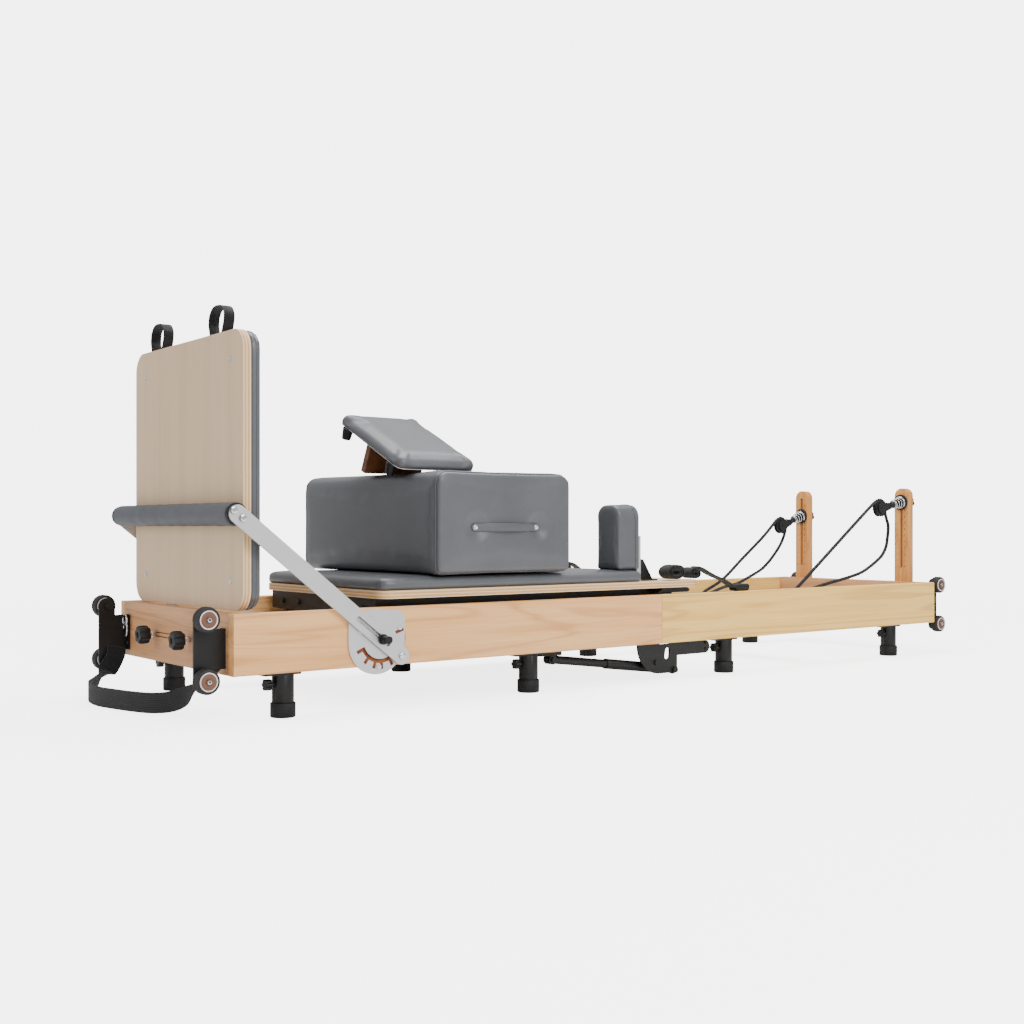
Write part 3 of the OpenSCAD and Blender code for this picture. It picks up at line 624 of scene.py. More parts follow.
def puff(obj, voxel, cap, pressure=4.0, flat_base=True, stiff=18):
    """Cloth pass of a stuffed cover: an even mesh is blown up, then drawn to its full size."""
    full = point_array(obj)
    full_low, full_high = full.min(axis=0), full.max(axis=0)
    remesh = obj.modifiers.new("even", "REMESH")
    remesh.mode = "VOXEL"
    remesh.voxel_size = voxel
    smoothing(obj, 3)
    apply_modifiers(obj)
    before = point_array(obj)
    cloth = obj.modifiers.new("cover", "CLOTH")
    cover = cloth.settings
    cover.quality = 5
    cover.mass = 0.35
    cover.tension_stiffness = cover.compression_stiffness = stiff
    cover.bending_stiffness = stiff / 12
    cover.use_pressure = True
    cover.uniform_pressure_force = pressure
    cover.effector_weights.gravity = 0
    if flat_base:
        base = obj.vertex_groups.new(name="base")
        lowest = before[:, 2].min()
        base.add([i for i, z in enumerate(before[:, 2]) if z < lowest + voxel * 0.6], 1,
                 "REPLACE")
        cover.vertex_group_mass = "base"
    for f in range(1, CLOTH_FRAMES + 1):
        bpy.context.scene.frame_set(f)
    apply_modifiers(obj)
    bpy.context.scene.frame_set(1)
    moved = point_array(obj) - before
    far = np.linalg.norm(moved, axis=1, keepdims=True) + 1e-9
    set_points(obj, before + moved * (cap * np.tanh(far / cap) / far))
    smoothing(obj, 2)
    fine = obj.modifiers.new("fine", "SUBSURF")
    fine.levels = fine.render_levels = 1
    apply_modifiers(obj)
    now = point_array(obj)
    now_low, now_high = now.min(axis=0), now.max(axis=0)
    set_points(obj, full_low + (now - now_low) * (full_high - full_low) / (now_high - now_low))
    for poly in obj.data.polygons:
        poly.use_smooth = True
    return obj


def place(obj, matrix):
    obj.data.transform(matrix)
    if matrix.determinant() < 0:
        obj.data.flip_normals()
    obj.data.update()
    return obj


def turned_to(x, y, z):
    """Matrix that turns the local axes to these directions."""
    return Matrix((x, y, z)).transposed().to_4x4()


def finish_pad(obj, node, body, material):
    obj.data.materials.clear()
    obj.data.materials.append(material)
    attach(obj, body)
    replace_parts(obj, node)


def surface_loop(obj, centre, across, up, n, lift):
    """Closed line round obj where the plane through centre cuts it, lifted off by lift."""
    tree = BVHTree.FromObject(obj, bpy.context.evaluated_depsgraph_get())
    line = []
    for k in range(n):
        a = TAU * k / n
        aim = across * math.cos(a) + up * math.sin(a)
        start = centre + aim * 2
        hit = tree.ray_cast(start, -aim)[0]
        line.append(hit + aim * lift)
    return even_loop(line, n)


def even_loop(line, n):
    """The same closed line with its points evenly spaced."""
    ring = line + [line[0]]
    total = path_length(ring)
    out, want, done = [], 0.0, 0.0
    for a, b in zip(ring, ring[1:]):
        step = (b - a).length
        while want < done + step and len(out) < n:
            out.append(a.lerp(b, (want - done) / step))
            want += total / n
        done += step
    return out


def groove(obj, distance, width, depth):
    """Pulls the cover in along a seam; distance(point) is how far a point is from the seam."""
    mesh = obj.data
    normals = [v.normal.copy() for v in mesh.vertices]
    for v, normal in zip(mesh.vertices, normals):
        d = distance(v.co) / width
        if d < 1:
            v.co -= normal * depth * (1 - d * d) ** 2
    mesh.update()


def stitch_line(name, loop, material, body, radius, ref=Y):
    swept(name, loop, circle_outline(radius, 8), material, body, "vinyl", ref, True, True)


# ------------------------------------------------------------------ springs and small hardware

def coil(name, start, end, r0, r1, wire, turns, per_turn, sides):
    """Helical spring from start to end with closed first and last turns."""
    axis = (end - start).normalized()
    side = axis.orthogonal().normalized()
    up = axis.cross(side)
    length = (end - start).length
    n = int(turns * per_turn)
    line = []
    for k in range(n + 1):
        t = k / n
        rise = min(max((t * turns - 1) / (turns - 2), 0), 1) * (length - 2 * wire) + wire
        a = t * turns * TAU
        r = r0 + (r1 - r0) * t
        line.append(start + axis * rise + (side * math.cos(a) + up * math.sin(a)) * r)
    return sweep(name, line, circle_outline(wire, sides), ref=axis)


def dress(obj, material, body, slot=None):
    obj.data.materials.clear()
    obj.data.materials.append(material)
    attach(obj, body)
    return obj


def turned(name, profile, at, axis, n, material, body, slot=None):
    """A lathed piece with its material and body; the slot argument is not used."""
    return dress(lathe(name, profile, at, axis, n), material, body, slot)


def swept(name, line, outline, material, body, slot, ref=Y, closed=False, uv=False):
    """A swept piece with its material and body; the slot argument is not used."""
    return dress(sweep(name, line, outline, ref, closed, uv), material, body, slot)


def screw(name, at, axis, r, material, body, proud=0.0025):
    """Domed screw head with a hexagonal socket."""
    rings = ((1, 0), (1, 0.45), (0.86, 0.85), (0.58, 1), (0.5, 1), (0.46, 0.3))
    socket, n = 4, 24
    axis = Vector(axis)
    verts = []
    for i, (scale, rise) in enumerate(rings):
        for k, spoke in enumerate(spokes(axis, n)):
            corner = TAU * k / n % (TAU / 6) - TAU / 12
            flat = math.cos(TAU / 12) / math.cos(corner) if i >= socket else 1
            verts.append(at + spoke * r * scale * flat + axis * proud * rise)
    return dress(shade_by_angle(skin(name, verts, n), 30), material, body)


# ------------------------------------------------------------------ colours

PINE = (linear(242, 188, 124), linear(232, 170, 106), linear(170, 100, 48))
PINE_REAR = (linear(250, 208, 118), linear(240, 190, 98), linear(170, 108, 40))
BOARD = (linear(210, 158, 112), linear(196, 142, 96), linear(140, 86, 48))
# Cross-board pine, browner and darker than the rails: painted shade, the shaded end board's tone
# used as the wood colour.
RISER = (linear(218, 156, 86), linear(202, 134, 66), linear(146, 86, 36))
# Dark wood tones of the slot sheets: painted shade behind the slots of the side plates.
SHADED = (linear(150, 84, 40), linear(126, 66, 30), linear(84, 40, 18))
VENEER = (linear(210, 184, 152), linear(202, 173, 140), linear(176, 142, 106))
GREY = linear(80, 82, 86)
BLACK = linear(9, 9, 10)


def build_materials():
    return {
        "pine_front": wood("pine_front", 0, PINE),
        "pine_rear": wood("pine_rear", 0, PINE_REAR, ring=6),
        # Cross boards in the BOARD tone, which holds painted shade.
        "pine_cross": wood("pine_cross", 1, BOARD),
        "pine_riser": wood("pine_riser", 2, RISER),
        # Painted shade: dark wood-grained material for the sheets behind the plate slots.
        "painted_slot_shade": wood("painted_slot_shade", 0, SHADED),
        "prop_wood": wood("prop_wood", 1, (linear(128, 82, 50), linear(104, 62, 36),
                                           linear(70, 38, 22))),
        "ply_board": plywood("ply_board", 2, 0, 5, (linear(240, 216, 178), linear(230, 202, 160),
                                                    linear(184, 142, 98)), 0.018, 0.236),
        "ply_panel": plywood("ply_panel", 0, 2, 5, VENEER, 0.018, -1.1705),
        "vinyl": vinyl("vinyl", GREY),
        "vinyl_trim": vinyl("vinyl_trim", linear(74, 76, 80), grain=900, depth=0.0001),
        "foam": foam("foam", linear(84, 87, 92)),
        "black_steel": painted_steel("black_steel", BLACK),
        "grey_steel": brushed_metal("grey_steel", linear(205, 205, 207), along=0,
                                    rough=(0.34, 0.48), metallic=0.75),
        "aluminium": brushed_metal("aluminium", linear(198, 199, 202), along=0,
                                   rough=(0.38, 0.5)),
        "chrome": brushed_metal("chrome", linear(222, 222, 226), along=1, rough=(0.1, 0.22)),
        "plastic": painted_steel("plastic", linear(15, 15, 17), rough=(0.42, 0.6), grain=700),
        "rubber": rubber("rubber"),
        "tyre": rubber("tyre", linear(34, 31, 31)),
        "ring": painted_steel("ring", linear(214, 210, 206), rough=(0.3, 0.45), grain=500),
        "copper": brushed_metal("copper", linear(128, 94, 80), along=1, rough=(0.3, 0.45)),
        "webbing": woven("webbing", linear(11, 11, 13), 480, 66),
        "rope": woven("rope", linear(11, 11, 12), 420, 14),
        "ink": painted_steel("ink", linear(84, 52, 34), rough=(0.6, 0.8)),
        "shoulder_steel": shoulder_steel("shoulder_steel",
                                         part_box("shoulder_brackets")[0].x + 0.0141),
        "foam_black": foam("foam_black", linear(18, 18, 20)),
    }


# ------------------------------------------------------------------ cords

ROPE_D = 0.0102
NEAR_ROUTE = [(214, -190, 195.5), (262, -190, 180), (330, -192, 155), (420, -196, 142),
              (500, -200, 144), (560, -202, 163), (620, -202, 190), (666, -202, 219),
              (760, -202, 284), (842, -202, 341), (940, -202, 409), (1010, -202, 457),
              (1036, -202, 473), (1055, -202, 480), (1066.3, -202, 479.4), (1076, -202, 474.4),
              (1082.7, -202, 465.6), (1085.6, -202, 454.9), (1088, -202, 438),
              (1096, -202, 418), (1104, -202, 396), (1100, -202, 362), (1092, -202, 332),
              (1072, -202, 306), (1044, -202, 288), (1008, -202, 270), (968, -202, 254),
              (922, -201, 243), (877, -200, 235), (824, -198, 226), (773, -194, 216),
              (720, -188, 204), (660, -180, 190), (590, -170, 172), (510, -160, 156),
              (430, -154, 148), (350, -150, 152), (270, -150, 176), (214, -150, 195.5)]
FAR_ROUTE = [(214, 190, 195.5), (262, 190, 180), (340, 192, 156), (430, 196, 142),
             (520, 200, 140), (600, 202, 150), (658, 202, 168), (696, 202, 189),
             (776, 202, 224), (870, 202, 290), (968, 202, 358), (1020, 202, 400),
             (1040, 202, 417), (1058, 202, 425), (1069.4, 202, 424.3), (1079.1, 202, 419.3),
             (1085.8, 202, 410.5), (1088.6, 202, 399.8), (1088, 202, 388), (1080, 202, 366),
             (1062, 202, 336), (1034, 202, 306), (1000, 202, 276), (958, 201, 250),
             (900, 200, 228), (842, 197, 209), (797, 193, 203), (752, 187, 196),
             (680, 176, 180), (600, 166, 162), (510, 158, 148), (430, 154, 144),
             (350, 150, 150), (270, 150, 176), (214, 150, 195.5)]
STRAP_ROUTE = [(-1228, 260, 116), (-1232, 254, 98), (-1244, 251, 76), (-1266, 244, 52),
               (-1296, 222, 34), (-1322, 180, 28), (-1334, 130, 26), (-1334, 80, 25),
               (-1322, 20, 25), (-1306, -40, 25), (-1286, -95, 26), (-1264, -140, 32),
               (-1246, -182, 48), (-1238, -215, 68), (-1232, -240, 90), (-1229, -257, 106),
               (-1228, -259.5, 118)]
STRAP_HALF = (0.022, 0.0016)


def metres(points):
    return [Vector(p) / 1000 for p in points]


def build_rope(side, route, m):
    """Braided rope from one clip over its sheave to the other clip of the same side."""
    path = smooth_path(metres(route), 6)
    rope = sweep(f"rope_braid_{side}", path, circle_outline(ROPE_D / 2, 14), uv=True)
    rope.data.materials.append(m["rope"])
    shape = [(0, 0), (0.0052, 0), (0.0058, 0.002), (0.0058, 0.02), (0.0052, 0.023), (0, 0.023)]
    sleeves = [turned(f"rope_sleeve_{side}_{i}", shape, a, b - a, 24, m["plastic"], "rope_ends")
               for i, (a, b) in enumerate((path[:2], path[:-3:-1]))]
    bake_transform(rope)
    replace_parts(rope, f"rope_{side}")


def build_pull_strap(m):
    """Folded webbing that leaves the brackets flat to them and turns to stand on its edge."""
    n = len(STRAP_ROUTE)
    turn = [max(0, min(1, min(i - 1, n - 2 - i) / 4)) for i in range(n)]
    path = smooth_path(metres(STRAP_ROUTE), 6)
    refs = []
    for i in range(len(path)):
        at = min(i / 6, n - 1.001)
        k = int(at)
        f = turn[k] + (turn[k + 1] - turn[k]) * (at - k)
        refs.append(Vector((1 - f, 0, f)))
    strap = swept("pull_strap_webbing", path, band_outline(*STRAP_HALF), m["webbing"],
                  "front_frame", "webbing", refs, uv=True)
    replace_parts(strap, "pull_strap")


# ------------------------------------------------------------------ CAD nodes that stay

KEPT = {
    "pine_front": (["front_rails"], 0.0012), "pine_rear": (["rear_rails"], 0.0012),
    "pine_cross": (["front_cross_boards", "rear_cross_boards"], 0.0015),
    "pine_riser": (["risers"], 0.002), "prop_wood": (["head_pad_prop"], 0.003),
    "ply_board": (["carriage_board"], 0.0012), "ply_panel": (["jump_board_panel"], 0.0015),
    "aluminium": (["front_tracks", "rear_tracks"], 0.0005),
    "black_steel": (["front_legs", "rear_legs", "foot_brackets", "head_brackets",
                     "fold_hinge_front", "fold_hinge_rear", "carriage_frame",
                     "footbar_pivots", "pulley_block_near", "pulley_block_far"], 0.0008),
    "grey_steel": (["footbar_plates", "footbar_arms", "foot_fittings", "jump_board_posts"],
                   0.0008),
    "shoulder_steel": (["shoulder_brackets"], 0.0008),
    "plastic": (["sheave_near", "sheave_far", "head_pad_base", "footbar_tube"], 0.0012),
    "rubber": (["front_feet", "rear_feet", "rollers_foot", "rollers_head"], 0.0015),
    "chrome": (["rope_clips"], 0.0005),
}


def dress_nodes(m):
    """Materials on the CAD nodes, with their edges eased."""
    for key, (names, edge) in KEPT.items():
        for name in names:
            node = NODES[name]
            node.data.materials.clear()
            node.data.materials.append(m[key])
            weld = node.modifiers.new("weld", "WELD")
            weld.merge_threshold = 0.00002
            bevel = node.modifiers.new("edges", "BEVEL")
            bevel.width = edge
            bevel.segments = 2
            bevel.limit_method = "ANGLE"
            bevel.angle_limit = math.radians(40)
            bevel.harden_normals = True


# ------------------------------------------------------------------ upholstery

def build_carriage_pad(m):
    low, high, centre = measured("carriage_pad")
    pad = pad_form("carriage_cushion", *(high - low), [0.028] * 4, 0.004, 0.012)
    puff(pad, 0.008, 0.0016)
    place(pad, Matrix.Translation((centre.x, centre.y, low.z)))
    finish_pad(pad, "carriage_pad", "carriage", m["vinyl"])


def build_box(m):
    low, high, centre = measured("box_body")
    size = high - low
    box = pad_form("box_cover", size.x, size.z + 0.0015, size.y, [0.006, 0.006, 0.03, 0.03],
                   0.004, 0.004)
    puff(box, 0.0085, 0.0025, pressure=2, flat_base=False, stiff=60)
    place(box, Matrix.Translation((centre.x, low.y, centre.z - 0.00075)) @ turned_to(X, Z, Y))
    ends = (low.y + 0.017, high.y - 0.017)
    groove(box, lambda p: min(abs(p.y - y) for y in ends), 0.008, 0.0018)
    for at in handle_screws():
        groove(box, lambda p: (p - at).length, 0.042, 0.011)
    foot = Vector((-0.515, -0.122, high.z))
    groove(box, lambda p: (p - foot).length, 0.05, 0.012)
    for i, y in enumerate(ends):
        loop = surface_loop(box, Vector((centre.x, y, centre.z)), X, Z, 220, 0.0006)
        stitch_line(f"box_piping_{i}", loop, m["vinyl_trim"], "box", 0.0019)
    finish_pad(box, "box_body", "box", m["vinyl"])
    return box


def handle_screws():
    """Where the carry straps are screwed on, on the flat sides of the box."""
    centre = measured("box_handles")[2]
    return [Vector((centre.x + s * 0.09, corner.y, centre.z))
            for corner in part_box("box_body") for s in (-1, 1)]


def build_box_handles(m, cover):
    """Carry straps: sewn band bowed out between two screws, with a stitched edge."""
    tree = BVHTree.FromObject(cover, bpy.context.evaluated_depsgraph_get())
    bow = ((-0.055, 0.002), (-0.035, 0.0022), (0, 0.0024), (0.1, 0.006), (0.25, 0.0155),
           (0.5, 0.0195), (0.75, 0.0155), (0.9, 0.006), (1, 0.0024), (1.035, 0.0022),
           (1.055, 0.002))
    for side in (-1, 1):
        out = Y * side
        a, b = (tree.ray_cast(s + out * 0.1, -out)[0]
                for s in handle_screws() if s.y * side > 0)
        path = smooth_path([a + (b - a) * t + out * rise for t, rise in bow], 8)
        band = sweep(f"handle_band_{side}", path, band_outline(0.0095, 0.0015), Z, uv=True)
        for v in band.data.vertices:
            past = max(0.0, 0.0085 - min(abs(v.co.x - path[0].x), abs(v.co.x - path[-1].x)))
            v.co.z = a.z + (v.co.z - a.z) * math.sqrt(max(0.02, 1 - (past / 0.0088) ** 2))
        dress(band, m["vinyl"], "box", "vinyl")
        if side < 0:
            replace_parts(band, "box_handles")
        for edge in (-1, 1):
            stitch = [p + Vector((0, side * 0.0013, edge * 0.0068)) for p in path[4:-4]]
            swept(f"handle_seam_{side}_{edge}", stitch, circle_outline(0.0006, 6),
                  m["vinyl_trim"], "box", "vinyl")
        for k, at in enumerate((a, b)):
            turned(f"handle_washer_{side}_{k}", [(0.0, 0.0), (0.0062, 0.0), (0.0066, 0.0006),
                                                 (0.006, 0.0012), (0.0, 0.0012)],
                   at + out * 0.0036, out, 28, m["chrome"], "box", "chrome")
            screw(f"handle_screw_{side}_{k}", at + out * 0.0048, out, 0.0044, m["chrome"], "box")


def head_pad_matrix():
    """Frame of the tilted head pad: local Z off the base, local Y up the slope."""
    box_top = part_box("box_body")[1].z
    return (Matrix.Translation((0, -0.17, box_top + 0.002))
            @ Matrix.Rotation(math.radians(25), 4, "X"))


def build_head_pad(m):
    to_world = head_pad_matrix()
    low, high, centre = measured("head_pad_cushion")
    width = high.x - low.x
    length = 0.302
    shape = Matrix.Translation((centre.x, length / 2, 0.0012))
    pad = pad_form("head_cushion", width + 0.002, length + 0.002, 0.0325, [0.02] * 4, 0.003,
                   0.02)
    puff(pad, 0.0055, 0.006, pressure=5)
    place(pad, to_world @ shape)
    finish_pad(pad, "head_pad_cushion", "head_pad", m["vinyl"])
    edge = [Vector((x, y, 0.0003)) for x, y in rounded_outline(width - 0.0015, length - 0.0015,
                                                               [0.019] * 4)]
    loop = even_loop([to_world @ shape @ p for p in edge], 180)
    stitch_line("head_pad_edge", loop, m["ring"], "head_pad", 0.0007,
                ref=to_world.to_3x3() @ Z)


def build_shoulder_pads(m):
    low, high, centre = measured("shoulder_pads")
    width, extra = 0.091, 0.003
    form = pad_form("shoulder_near", width, high.z - low.z + extra, high.x - low.x,
                    [0.003, 0.003, 0.032, 0.032], 0.002, 0.006)
    puff(form, 0.0036, 0.002)
    middle = centre.z - extra / 2
    far = form.copy()
    far.data = form.data.copy()
    far.name = "shoulder_far"
    bpy.context.scene.collection.objects.link(far)
    for pad, side in ((form, -1), (far, 1)):
        y = side * (high.y - width / 2)
        place(pad, Matrix.Translation((high.x, y, middle)) @ turned_to(Y, Z, -X))
        loop = surface_loop(pad, Vector((high.x - 0.016, y, middle)), Y, Z, 150, 0.0003)
        stitch_line(f"shoulder_seam_{side}", loop, m["vinyl_trim"], "carriage", 0.0011, X)
    for pad in (far, form):
        finish_pad(pad, "shoulder_pads", "carriage", m["vinyl"])


def build_jump_pad(m):
    low, high, centre = measured("jump_board_pad")
    size = high - low
    pad = pad_form("jump_cushion", size.y, size.z, size.x, [0.045] * 4, 0.002, 0.005)
    puff(pad, 0.008, 0.0018)
    place(pad, Matrix.Translation((low.x, centre.y, centre.z)) @ turned_to(Y, Z, X))
    loop = surface_loop(pad, Vector((low.x + 0.012, 0, centre.z)), Y, Z, 300, 0.0002)
    finish_pad(pad, "jump_board_pad", "jump_board", m["vinyl"])
    stitch_line("jump_pad_seam", loop, m["vinyl_trim"], "jump_board", 0.0009, X)


def build_jump_loops(m):
    """Webbing loops that rise behind the panel, lean towards it and drop back."""
    high, centre = measured("jump_board_loops")[1:]
    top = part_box("jump_board_panel")[1].z
    x, rise = centre.x, high.z - top
    for i, y in enumerate((-0.158, 0.158)):
        line = [(x, y - 0.026, top - 0.001), (x, y - 0.032, top + 0.01),
                (x - 0.002, y - 0.042, top + rise * 0.4),
                (x - 0.002, y - 0.0425, top + rise * 0.66),
                (x - 0.001, y - 0.029, top + rise * 0.9), (x, y - 0.006, top + rise - 0.0014),
                (x + 0.001, y + 0.018, top + rise * 0.94),
                (x + 0.002, y + 0.036, top + rise * 0.72),
                (x + 0.002, y + 0.0405, top + rise * 0.42), (x, y + 0.034, top + 0.012),
                (x, y + 0.03, top - 0.001)]
        loop = swept(f"jump_loop_{i}", smooth_path(line, 7), band_outline(0.0125, 0.0013),
                     m["webbing"], "jump_board", "webbing", X, uv=True)
        if i == 0:
            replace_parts(loop, "jump_board_loops")


def build_grip(m):
    """Foam sleeve with eased ends and slight waves from moulding."""
    low, high, centre = measured("footbar_grip")
    half = (high.y - low.y) / 2
    r = (high.z - low.z) / 2
    end = [(0.0126, half), (r - 0.005, half), (r - 0.0012, half - 0.002), (r, half - 0.007)]
    waves = [(r - 0.0003 * (1 + math.sin(k * 1.9)), -half + 0.02 + (2 * half - 0.04) * k / 30)
             for k in range(31)]
    profile = [(a, -h) for a, h in end] + waves + end[::-1] + [(0.0126, -half)]
    grip = turned("grip_sleeve", profile, centre, Y, 48, m["foam"], "footbar", "foam")
    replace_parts(grip, "footbar_grip")


def build_hand_loops(m):
    """Webbing hand loops rolled up on the carriage, each with its padded grip over the rail."""
    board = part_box("carriage_board")[1].z
    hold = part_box("front_rails")[1].z + 0.0004
    made = []
    for side in (-1, 1):
        y = side * 0.266
        for i, (x, half_w, half_h, turns) in enumerate(((0.074, 0.037, 0.0215, 3.5),
                                                        (0.146, 0.027, 0.0175, 2.5))):
            line = []
            steps = int(turns * 28)
            for k in range(steps + 1):
                a = TAU * turns * k / steps
                fade = 0.28 + 0.72 * (1 - k / steps)
                w = (half_w - 0.002) * fade
                h = (half_h - 0.002) * fade
                line.append(Vector((x + w * math.cos(a + 0.6), y + 0.001 * side * math.sin(a / 2),
                                    board + half_h + h * math.sin(a + 0.6))))
            made.append(swept(f"hand_roll_{side}_{i}", line, band_outline(0.0185, 0.0014),
                              m["webbing"], "carriage", "webbing", uv=True))
        path = smooth_path([(0.162, y, board + 0.0345), (0.182, y, board + 0.029),
                            (0.215, side * 0.272, board + 0.012),
                            (0.255, side * 0.279, board - 0.004),
                            (0.292, side * 0.2825, board - 0.024)], 8)
        swept(f"hand_band_{side}", path, band_outline(0.015, 0.0018), m["webbing"],
              "carriage", "webbing", uv=True)
        grip = rounded_box(f"hand_grip_{side}", (0.29, side * 0.283 - 0.0165, hold),
                           (0.344, side * 0.283 + 0.0165, hold + 0.0187), 0.0065)
        dress(grip, m["foam_black"], "carriage", "foam")
    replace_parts(made[0], "hand_loops")


# ------------------------------------------------------------------ wheels, pulleys and springs

def build_wheel(name, m):
    """Tyre with a rounded tread, a pale ring let into each side, a copper cap and its bolt."""
    low, high, mid = measured(name)
    r = (high.z - low.z) / 2
    half = (high.y - low.y) / 2
    out = Y if mid.y > 0 else -Y
    edge = [(0.0042, half), (r * 0.62, half), (r * 0.64, half - 0.0006),
            (r * 0.76, half - 0.0006), (r * 0.78, half), (r - 0.004, half),
            (r - 0.0012, half - 0.0016), (r, half - 0.0052), (r, 0.0022), (r - 0.0009, 0.0014)]
    tread = [(a, -h) for a, h in edge] + edge[::-1] + [(0.0042, -half)]
    tyre = turned(name + "_tyre", tread, mid, Y, 56, m["tyre"], name, "wheel")
    for side in (-1, 1):
        face, axis = mid + Y * side * half, Y * side
        turned(f"{name}_ring_{side}", [(0.0168, -0.0004), (0.0168, 0.0007), (0.0174, 0.0011),
                                       (0.0187, 0.0011), (0.0193, 0.0006), (0.0193, -0.0004),
                                       (0.0168, -0.0004)], face, axis, 56, m["ring"], name,
               "wheel")
        turned(f"{name}_cap_{side}", [(0.0042, -0.0004), (0.0042, 0.0016), (0.0074, 0.0018),
                                      (0.008, 0.001), (0.0152, 0.0006), (0.0166, 0.0009),
                                      (0.0166, -0.0004), (0.0042, -0.0004)], face, axis, 56,
               m["copper"], name, "wheel")
    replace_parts(tyre, name)
    turned(name + "_nut", [(0.0, 0.0), (0.0056, 0.0), (0.0056, 0.0026), (0.0048, 0.0038),
                           (0.0026, 0.0042), (0.0024, 0.0026), (0.0, 0.0026)],
           mid + out * (half + 0.0006), out, 6, m["chrome"],
           "front_frame" if mid.x < 0 else "rear_frame", "chrome")


def build_wheels(m):
    for name in [n for n in NODES if n.startswith("wheel_")]:
        build_wheel(name, m)


def star_knob(name, at, axis, r, height, m, body):
    """Six-lobed hand knob with a domed top, on axis from at."""
    rings = ((0.62, 0.0), (0.9, 0.02), (0.98, 0.18), (1.0, 0.5), (0.98, 0.78), (0.88, 0.94),
             (0.6, 0.985), (0.35, 0.96), (0.3, 0.86))
    n = 96
    verts = []
    for scale, h in rings:
        for k, spoke in enumerate(spokes(axis, n)):
            dip = (0.5 + 0.5 * math.cos(6 * TAU * k / n)) ** 1.6 * min(1, scale * 1.1)
            verts.append(at + spoke * r * scale * (1 - 0.17 * dip) + axis * height * h)
    return dress(shade_by_angle(skin(name, verts, n), 40), m["plastic"], body, "black_plastic")


def build_pulley_mount(side, tilt, m):
    """Height clamp: bolt, rubber washer, conical spring, eye and the hand knob behind."""
    node = f"pulley_mount_{side}"
    riser_low, riser_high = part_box("risers")
    lean = math.radians(tilt)
    along = Vector((-math.cos(lean), 0, -math.sin(lean)))
    root = Vector((riser_low.x - 0.004, measured(node)[2].y,
                   measured(f"sheave_{side}")[2].z + 0.11 * math.sin(lean)))
    chrome = (m["chrome"], node, "chrome")
    turned(node + "_bolt", [(0.0, 0.0), (0.0045, 0.0), (0.0045, 0.036), (0.0, 0.036)], root, X,
           24, *chrome)
    turned(node + "_washer", [(0.0045, 0), (0.0235, 0), (0.025, 0.0012), (0.025, 0.004),
                              (0.0235, 0.0054), (0.0045, 0.0054), (0.0045, 0)],
           root + X * 0.0037, -X, 48, m["rubber"], node)
    spring = dress(coil(node + "_spring", root + along * 0.003, root + along * 0.041, 0.0195,
                        0.0105, 0.0013, 5.5, 24, 8), *chrome)
    turned(node + "_stem", [(0.0, -0.004), (0.0052, -0.004), (0.0052, 0.034), (0.0098, 0.036),
                            (0.0102, 0.041), (0.0075, 0.0445), (0.005, 0.047), (0.0, 0.047)],
           root, along, 28, m["black_steel"], node, "black_steel")
    angles = [TAU * k / 40 for k in range(40)]
    eye = [root + along * 0.066 + (along * math.cos(a) + along.cross(Y) * math.sin(a)) * 0.0068
           for a in angles]
    swept(node + "_eye", eye, circle_outline(0.0026, 10), *chrome, closed=True)
    turned(node + "_neck", [(0.0, 0.0), (0.0038, 0.0), (0.003, 0.007), (0.0034, 0.0135),
                            (0.0, 0.0135)], root + along * 0.046, along, 20, *chrome)
    star_knob(node + "_knob", Vector((riser_high.x + 0.0006, root.y, root.z)), X, 0.02, 0.0205,
              m, node)
    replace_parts(spring, node)


def build_footbar_springs(m):
    """Return coils in the slots of the arms."""
    for side in (-1, 1):
        base = BAR_PIVOT + Y * side * 0.3155
        spring = coil(f"footbar_spring_{side}", base + BAR_ALONG * 0.0062,
                      base + BAR_ALONG * 0.0755, 0.0019, 0.0019, 0.00055, 24, 12, 6)
        spring.data.materials.append(m["chrome"])
        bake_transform(spring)
        if side < 0:
            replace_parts(spring, "footbar_springs")


def build_carriage_springs(m):
    """Five extension springs with end hooks, between the spring bar and the carriage."""
    low, high, centre = measured("carriage_springs")
    r, wire, inset = 0.0065, 0.0013, 0.022
    for i, y in enumerate((-0.16, -0.08, 0, 0.08, 0.16)):
        a, b = Vector((low.x, y, centre.z)), Vector((high.x, y, centre.z))
        parts = [coil(f"carriage_spring_{i}", a + X * inset, b - X * inset, 0.0076, 0.0076,
                      wire, 62, 12, 5)]
        for end, sign in ((a, 1), (b, -1)):
            bend = [end + Vector((sign * (0.009 - r * math.cos(t)), 0, r * math.sin(t)))
                    for t in (math.radians(d) for d in range(-130, 131, 20))]
            tails = [end + Vector((sign * 0.026, 0, z)) for z in (-0.0072, 0.0072)]
            parts.append(sweep(f"hook_{i}_{sign}", smooth_path([tails[0], *bend, tails[1]], 3),
                               circle_outline(wire, 6)))
        spring = join(f"carriage_spring_{i}", parts)
        spring.data.materials.clear()
        spring.data.materials.append(m["chrome"])
        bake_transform(spring)
        if i == 0:
            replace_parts(spring, "carriage_springs")


def build_riser_marks(m):
    """Height numbers beside the slot of each riser."""
    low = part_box("risers")[0]
    for side in (-1, 1):
        for i in range(11):
            z = low.z + 0.155 + i * 0.02
            data = bpy.data.curves.new(f"mark_{side}_{i}", "FONT")
            data.body = str(i)
            data.size = 0.0095
            data.extrude = 0.00012
            data.align_x = data.align_y = "CENTER"
            label = add_object(f"mark_{side}_{i}", data)
            label.location = (low.x - 0.00008, side * 0.202 - 0.0135, z)
            label.rotation_euler = (math.pi / 2, 0, -math.pi / 2)
            label.data.materials.append(m["ink"])
            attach(label, "rear_frame")


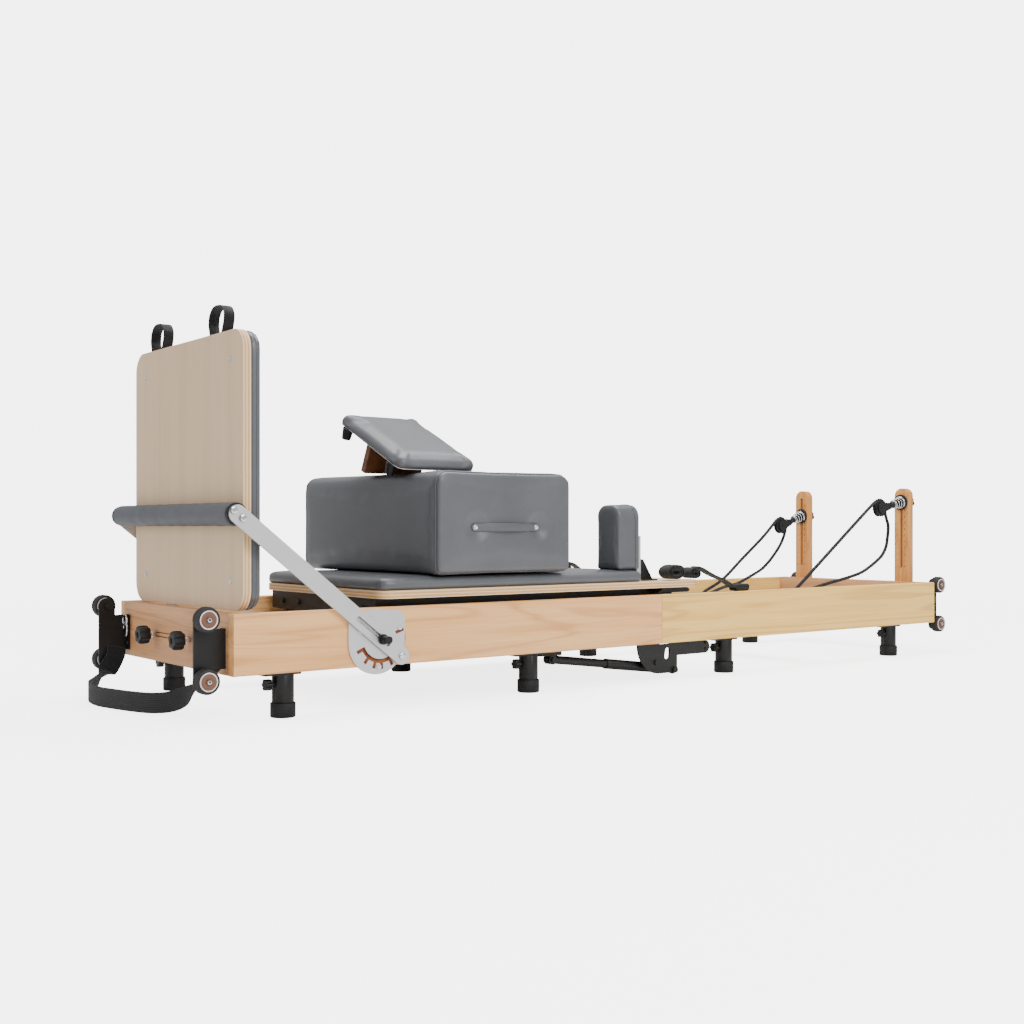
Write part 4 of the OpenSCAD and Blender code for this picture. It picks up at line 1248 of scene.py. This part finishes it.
def build_footbar_screws(m):
    """Bright socket screws on the side plates, on the arm ends and at the lock pins."""
    plate_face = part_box("footbar_plates")[1].y
    for side in (-1, 1):
        out = Y * side
        for i, (x, z) in enumerate(((-0.884, 0.2), (-0.908, 0.171), (-0.808, 0.175),
                                    (-0.862, 0.092))):
            at = Vector((x, side * (plate_face - 0.0011), z))
            screw(f"plate_screw_{side}_{i}", at, out, 0.0052, m["chrome"], "front_frame", 0.0012)
        for i, reach in enumerate((BAR_ARM - 0.013, BAR_ARM + 0.013, -0.063)):
            at = BAR_PIVOT + BAR_ALONG * reach + out * (ARM_FACE + (0.0044 if i < 2 else 0.0038))
            screw(f"arm_screw_{side}_{i}", at, out, 0.0072, m["chrome"], "footbar", 0.0016)


def build_slot_shades(m):
    """Painted shade: a thin sheet of dark wood colour on the rail behind the notched slots of the
    side plates, standing in for the shadow there.
    """
    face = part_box("front_rails")[1].y
    for side in (-1, 1):
        verts = [BAR_PIVOT + Vector((r * math.cos(a), side * (face + lift), r * math.sin(a)))
                 for a in (math.radians(-170 + 5 * k) for k in range(41))
                 for r, lift in ((0.041, 0.0001), (0.041, 0.0006), (0.0665, 0.0006),
                                 (0.0665, 0.0001))]
        dress(skin(f"slot_shade_{side}", verts, 4), m["painted_slot_shade"], "front_frame")


def build_end_knobs(m):
    """Clamp screws of the jump board: chrome stud, lock nut and star knob."""
    for node in ("end_knob_near", "end_knob_far"):
        low, high, centre = measured(node)
        seat = Vector((low.x + 0.026, centre.y, centre.z))
        length = high.x - seat.x
        chrome = (m["chrome"], node, "chrome")
        turned(node + "_stud", [(0.0, 0.0), (0.0039, 0.0), (0.004, 0.001),
                                (0.004, length - 0.001), (0.0032, length), (0.0, length)],
               seat, X, 24, *chrome)
        turned(node + "_collar", [(0.004, 0), (0.0095, 0), (0.01, 0.0008), (0.0095, 0.0042),
                                  (0.004, 0.0046), (0.004, 0)], seat, X, 32, *chrome)
        turned(node + "_nut", [(0.004, 0), (0.0068, 0), (0.0074, 0.0006), (0.0074, 0.0034),
                               (0.0068, 0.004), (0.004, 0.004), (0.004, 0)],
               seat + X * 0.009, X, 6, *chrome)
        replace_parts(star_knob(node + "_star", seat, -X, 0.021, 0.0258, m, node), node)


def build_strap_ring(m):
    """Snap ring at the far foot bracket, where the pull strap is clipped."""
    centre = Vector((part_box("front_rails")[0].x - 0.012, 0.25, 0.176))
    chrome = (m["chrome"], "front_frame", "chrome")
    angles = [TAU * k / 40 for k in range(40)]
    ring = [centre + Vector((0, math.cos(a), math.sin(a))) * 0.012 for a in angles]
    swept("strap_ring", ring, circle_outline(0.0023, 10), *chrome, ref=X, closed=True)
    hook = [centre + Vector((0.001, 0.0105 * math.cos(a), 0.018 * math.sin(a) - 0.02))
            for a in angles[:34]]
    swept("strap_snap", hook, circle_outline(0.0019, 10), *chrome, ref=X)


def build_panel_screws(m):
    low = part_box("jump_board_panel")[0]
    for y in (-0.226, 0.226):
        for dz in (0.063, 0.524):
            screw(f"panel_screw_{y}_{dz}", Vector((low.x - 0.0012, y, low.z + dz)), -X, 0.0058,
                  m["chrome"], "jump_board", 0.0006)


# ------------------------------------------------------------------ build

materials = build_materials()
build_camera()
build_rope("near", NEAR_ROUTE, materials)
build_rope("far", FAR_ROUTE, materials)
for build in (build_pull_strap, dress_nodes, build_carriage_pad):
    build(materials)
build_box_handles(materials, build_box(materials))
for build in (build_head_pad, build_shoulder_pads, build_jump_pad, build_jump_loops, build_grip,
              build_hand_loops, build_wheels):
    build(materials)
build_pulley_mount("near", 10, materials)
build_pulley_mount("far", 17, materials)
for build in (build_footbar_springs, build_carriage_springs, build_riser_marks,
              build_footbar_screws, build_slot_shades, build_end_knobs, build_strap_ring,
              build_panel_screws):
    build(materials)
build_studio()
